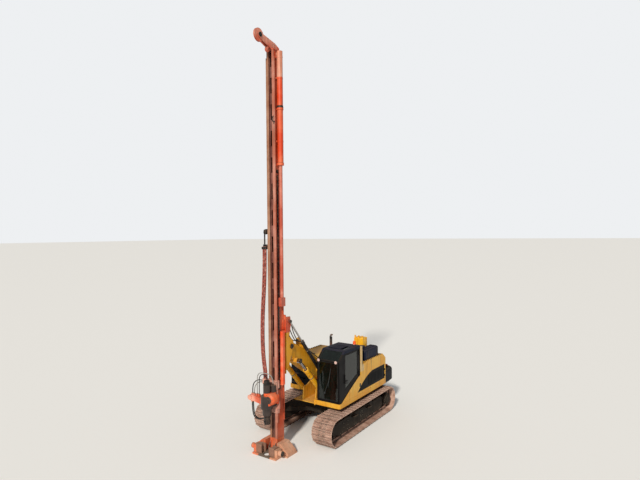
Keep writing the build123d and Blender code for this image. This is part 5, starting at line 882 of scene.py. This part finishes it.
# The cylinders' screwed glands: (name, body, x, mouth, direction, radius)
GLANDS = (
    ("boom_gland", "boom_barrels", 0.408, (-1.517, 2.51), (-0.681, 0.732), 0.092),
    ("tilt_gland", "tilt_barrels", 0.312, (-1.586, 3.509), (-0.646, 0.763), 0.062),
)
for name, body, x, mouth, direction, radius in GLANDS:
    for side, hand in SIDES:
        gland = turned(f"{name}_{hand}", 26, [(-0.07, radius), (-0.066, radius + 0.006),
                                              (-0.01, radius + 0.006), (-0.004, radius),
                                              (0.012, radius * 0.8), (0.016, radius * 0.62)], greasy_steel)
        fitted(gland, body, (side * x, *mouth), toward((0, *direction)))
        band = turned(f"{name}_hose_band_{hand}", 26, [(-0.5, radius), (-0.498, radius + 0.004),
                                                       (-0.462, radius + 0.004), (-0.46, radius)],
                      plated_steel)
        fitted(band, body, (side * x, *mouth), toward((0, *direction)))
# Steel oil pipes along the boom barrels, held by the bands
for side, hand in SIDES:
    rod("boom_oil_pipe_" + hand, (side * 0.408, -0.545, 1.615), (side * 0.408, -1.385, 2.519), 0.011,
        greasy_steel, "boom_barrels")
# Bars that hold the deck hoses down on the boom
for i, (y, z) in enumerate(((-1.0, 3.095), (-0.62, 2.83))):
    pressed_box(f"hose_hold_down_{i + 1}", (-0.19, 0.19), (y - 0.025, y + 0.025), (z + 0.016, z + 0.034),
                0.005, frame_black, "boom")
    for x in (-0.17, 0.17):
        rod(f"hose_hold_down_bolt_{i + 1}", (x, y, z - 0.11), (x, y, z + 0.05), 0.009, plated_steel, "boom")
bolt_row("boom_grease_points", "boom", [(0.236, 0.12, 1.85), (0.236, -1.8, 2.95)], (1, 0, 0), 0.02)


# The mast
# A square welded column in red-orange enamel that sun and rubbing have bleached to a dusty pink on its front
# rails. Between them a recessed channel, painted dark as its shade, guides the sled. The feed cylinder and
# chain run at its side.
# Mast orange: pinkish bleached rails, and the recessed channel between them painted dark brown as shade.
mast_orange = coat_of_paint("mast_orange", "#A9604A", "#BE8574", "#5A3529", 0.52, "mast_column", chips=0.55,
                            dust=0.3, mud=0.3,
                            zones=[((0.1, -2.8, 0.0), (0.2, -2.4, 14.0), "#B84420", "#C4664A"),
                                   ((-0.3, -2.9, 0.0), (-0.0695, -2.4, 14.0), "#8F5F45", "#A88068"),
                                   # The recessed channel between the rails, painted dark brown as its shade
                                   ((-0.0695, -2.815, 0.0), (0.0695, -2.7, 14.0), "#5E3129", "#85564C")])
# Crown orange: red-orange enamel, bleached on top of the head plate and wheel.
crown_orange = coat_of_paint("crown_orange", "#CB5A3C", "#E6A791", "#4C2C20", 0.45, "mast_crown",
                             "crown_sheave", "hose_arm", chips=0.45, dust=0.55)
# Feed orange: deep red-orange, pale on the topmost length and dark at the middle collar.
feed_orange = coat_of_paint("feed_orange", "#D03E14", "#DA6A42", "#47271C", 0.4, "feed_cylinder", chips=0.35,
                            dust=0.2,
                            zones=[((0.0, -3.0, 12.53), (0.5, -2.4, 13.5), "#CF8468", "#DDA791"),
                                   ((0.0, -3.0, 11.51), (0.5, -2.4, 11.59), "#3A2620", "#4A342B")])
# Cover orange: the brightest red-orange, on the sheet that hides the chain.
coat_of_paint("cover_orange", "#E2481A", "#E8825C", "#50301F", 0.38, "chain_cover", chips=0.35, dust=0.2)
# Rod red: the feed rod's red sleeve tube, rubbed pink along its length.
coat_of_paint("rod_red", "#B04A34", "#CF8470", "#4A2C22", 0.45, "feed_rod", chips=0.35, dust=0.2)
wear(greasy_steel, "hose_saddle")


def ring(name, sides, profile, material):
    """A turned ring about the z axis: its closed section, as heights and radii, swept round."""
    piece = turned(name, sides, profile + [profile[0]], material)
    bpy.context.view_layer.objects.active = piece
    piece.select_set(True)
    bpy.ops.object.mode_set(mode="EDIT")
    bpy.ops.mesh.select_mode(type="FACE")
    bpy.ops.mesh.select_all(action="DESELECT")
    bpy.ops.mesh.select_face_by_sides(number=4, type="GREATER")
    bpy.ops.mesh.delete(type="FACE")
    bpy.ops.mesh.select_all(action="SELECT")
    bpy.ops.mesh.remove_doubles(threshold=0.0001)
    bpy.ops.mesh.normals_make_consistent(inside=False)
    bpy.ops.mesh.select_mode(type="VERT")
    bpy.ops.object.mode_set(mode="OBJECT")
    piece.select_set(False)
    return piece


FEED_X, FEED_Y = 0.262, -2.63
for z, name in ((11.55, "feed_collar_middle"), (9.66, "feed_gland_collar")):
    fitted(ring(name, 28, [(-0.04, 0.094), (-0.04, 0.1), (-0.036, 0.106), (0.036, 0.106), (0.04, 0.1),
                           (0.04, 0.094)], greasy_steel), "mast", (FEED_X, FEED_Y, z))
bolt_ring("feed_gland_bolts", "mast", (FEED_X, FEED_Y, 9.615), DOWN, 0.09, 10, 0.018)
for i, z in enumerate((10.4, 12.5, 13.2)):
    fitted(ring(f"feed_strap_{i + 1}", 28, [(-0.03, 0.094), (-0.03, 0.1), (-0.027, 0.103), (0.027, 0.103),
                                            (0.03, 0.1), (0.03, 0.094)], feed_orange),
           "mast", (FEED_X, FEED_Y, z))
    pressed_box(f"feed_strap_foot_{i + 1}", (0.148, 0.2), (-2.75, -2.51), (z - 0.03, z + 0.03), 0.006,
                mast_orange, "mast")
# Steel pipes that carry the oil from the hose bracket up to the guide arch, in split clamps
for name, y in (("front", -2.66), ("rear", -2.602)):
    rod("mast_pipe_" + name, (-0.225, y, 4.27), (-0.225, y, 6.95), 0.015, greasy_steel, "mast")
for i in range(5):
    z = 4.55 + 0.55 * i
    pressed_box(f"mast_pipe_clamp_{i + 1}", (-0.252, -0.148), (-2.69, -2.572), (z, z + 0.05), 0.008,
                grained_plastic, "mast")
    bolt_row(f"mast_pipe_clamp_bolt_{i + 1}", "mast", [(-0.252, -2.631, z + 0.025)], LEFT, 0.016)
# The arch's cover and the clamp that holds the sleeves' ends
pressed_box("arch_cover", (-0.4, -0.26), (-2.79, -2.7), (7.3, 7.47), 0.035, greasy_steel, "mast")
pressed_box("sleeve_clamp", (-0.402, -0.214), (-2.885, -2.775), (6.8, 6.885), 0.012, greasy_steel, "mast")
bolt_row("sleeve_clamp_bolts", "mast", [(SLEEVE_X + step, -2.885, 6.842) for step in (-0.077, 0.0, 0.077)],
         FRONT, 0.018)
# A rope hook on the column's left side, and the small guide wheel below the head plate
hook = hose("rope_hook", [(0.12, -2.81, 11.24), (0.13, -2.88, 11.2), (0.15, -2.92, 11.08),
                          (0.17, -2.87, 11.0), (0.18, -2.82, 11.06)], 0.03)
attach(bending(hook, greasy_steel)[0], "mast")
fitted(turned("rope_guide_wheel", 28, [(-0.03, 0.085), (-0.022, 0.09), (-0.012, 0.07), (0.012, 0.07),
                                       (0.022, 0.09), (0.03, 0.085)], crown_orange),
       "mast", (0, -2.96, 13.42), ON_SIDE)
for side, hand in SIDES:
    pressed_box("guide_wheel_cheek_" + hand, sorted_x(side, 0.036, 0.05), (-3.0, -2.92), (13.38, 13.56),
                0.006, crown_orange, "mast")
rod("guide_wheel_pin", (-0.062, -2.96, 13.42), (0.062, -2.96, 13.42), 0.018, greasy_steel, "mast")
for side, hand in SIDES:
    fitted(turned("sheave_pin_boss_" + hand, 22, [(0, 0.075), (0.02, 0.075), (0.026, 0.066), (0.028, 0.03),
                                                  (0.04, 0.026)], greasy_steel),
           "mast", (side * 0.082, -3.385, 13.76), toward((side, 0, 0)))
    bolt_ring("sheave_pin_bolts_" + hand, "mast", (side * 0.107, -3.385, 13.76), (side, 0, 0), 0.054, 4,
              0.018)
    bolt_ring("crown_plate_bolts_" + hand, "mast", (side * 0.076, -2.72, 13.58), (side, 0, 0), 0.07, 6, 0.022)


# The sled and the rotary head
# A welded sled with claws that slide on the mast's guide bars. It carries the oily gear housing with its
# motors, the bright orange side drive, the arm with the hose ports, and the turning spindle.
# Sled pink: bleached orange plate, rubbed and oily.
sled_orange = coat_of_paint("sled_orange", "#C08070", "#D8A894", "#4E3026", 0.5, "carriage", chips=0.6,
                            dust=0.3)
# Head oil: near-black oily housing, with the side drive in fresh orange.
head_oil = coat_of_paint("head_oil", "#221C1A", "#3D2F29", "#6B4534", 0.34, "rotary_head", chips=0.6,
                         dust=0.5,
                         zones=[((-0.035, -3.275, 1.685), (0.355, -2.88, 2.075), "#E04A14", "#E4703C")])
bolt_ring("side_drive_bolts", "sled", (0.16, -3.262, 1.88), FRONT, 0.15, 10, 0.022)
bolt_ring("head_flange_bolts", "sled", (0.0, -3.15, 1.98), UP, 0.18, 12, 0.022)
for side, hand in SIDES:
    bolt_ring("motor_bolts_" + hand, "sled", (side * 0.13, -2.98, 2.3), UP, 0.07, 6, 0.018)
    pressed_box("sled_wear_plate_" + hand, sorted_x(side, 0.105, 0.235), (-2.915, -2.9), (2.12, 2.4), 0.005,
                sled_orange, "sled")
    bolt_row("sled_wear_plate_bolts_" + hand, "sled",
             [(side * x, -2.915, z) for x in (0.125, 0.215) for z in (2.14, 2.38)], FRONT, 0.02)
fitted(turned("side_drive_cover", 30, [(0, 0.12), (0.012, 0.12), (0.02, 0.105), (0.024, 0.05), (0.04, 0.045)],
              head_oil), "sled", (0.16, -3.27, 1.88), toward(FRONT))
fitted(turned("swivel_cap", 28, [(0, 0.118), (0.05, 0.118), (0.06, 0.1), (0.14, 0.095), (0.15, 0.08)],
              greasy_steel), "sled", (0, -3.15, 2.335))


# The mast's foot
# Welded plates that stand on the ground, with a sloped orange pad on the machine's right, a paler box on its
# left and the two-jawed clamp between them. Mud and drilling slurry have dried on everything.
# Foot orange: strong orange on the right pad, bleached on the left box, dark and oily round the clamp.
foot_orange = coat_of_paint("foot_orange", "#D2521E", "#DC8058", "#5B3A2A", 0.5, "mast_foot", chips=0.7,
                            dust=0.35, mud=0.35,
                            zones=[((0.25, -3.4, 0.0), (0.75, -2.4, 0.5), "#C98664", "#D8A88C"),
                                   ((-0.24, -3.4, 0.0), (0.24, -2.86, 0.5), "#2E2420", "#4E3C33")])
# Jaw steel: rusty brown cast steel, worn dark where it grips, under dried slurry.
coat_of_paint("jaw_steel", "#6E3A28", "#8C5A46", "#3A2C26", 0.5, "clamp_jaw_left", "clamp_jaw_right",
              chips=0.9, mud=0.6)
for side, hand in SIDES:
    fitted(turned("clamp_cylinder_end_" + hand, 24, [(-0.01, 0.085), (0.012, 0.085), (0.02, 0.076),
                                                     (0.022, 0.04), (0.034, 0.036)], greasy_steel),
           "mast", (side * 0.63, -3.15, 0.19), toward((side, 0, 0)))
    bolt_ring("clamp_cylinder_bolts_" + hand, "mast", (side * 0.65, -3.15, 0.19), (side, 0, 0), 0.062, 6,
              0.018)
    bolt_row("clamp_housing_bolts_" + hand, "mast",
             [(side * x, y, 0.3) for x in (0.43, 0.48) for y in (-3.22, -3.15, -3.08)], UP, 0.024)
    bolt_row("foot_plate_bolts_" + hand, "mast", [(side * x, -3.28, 0.05) for x in (0.14, 0.22, 0.3)], UP,
             0.03)
    pressed_box("foot_pad_rib_" + hand, sorted_x(side, 0.3, 0.64), (-2.956, -2.946), (0.07, 0.12), 0.004,
                foot_orange, "mast")
put_away(hex_bolt)
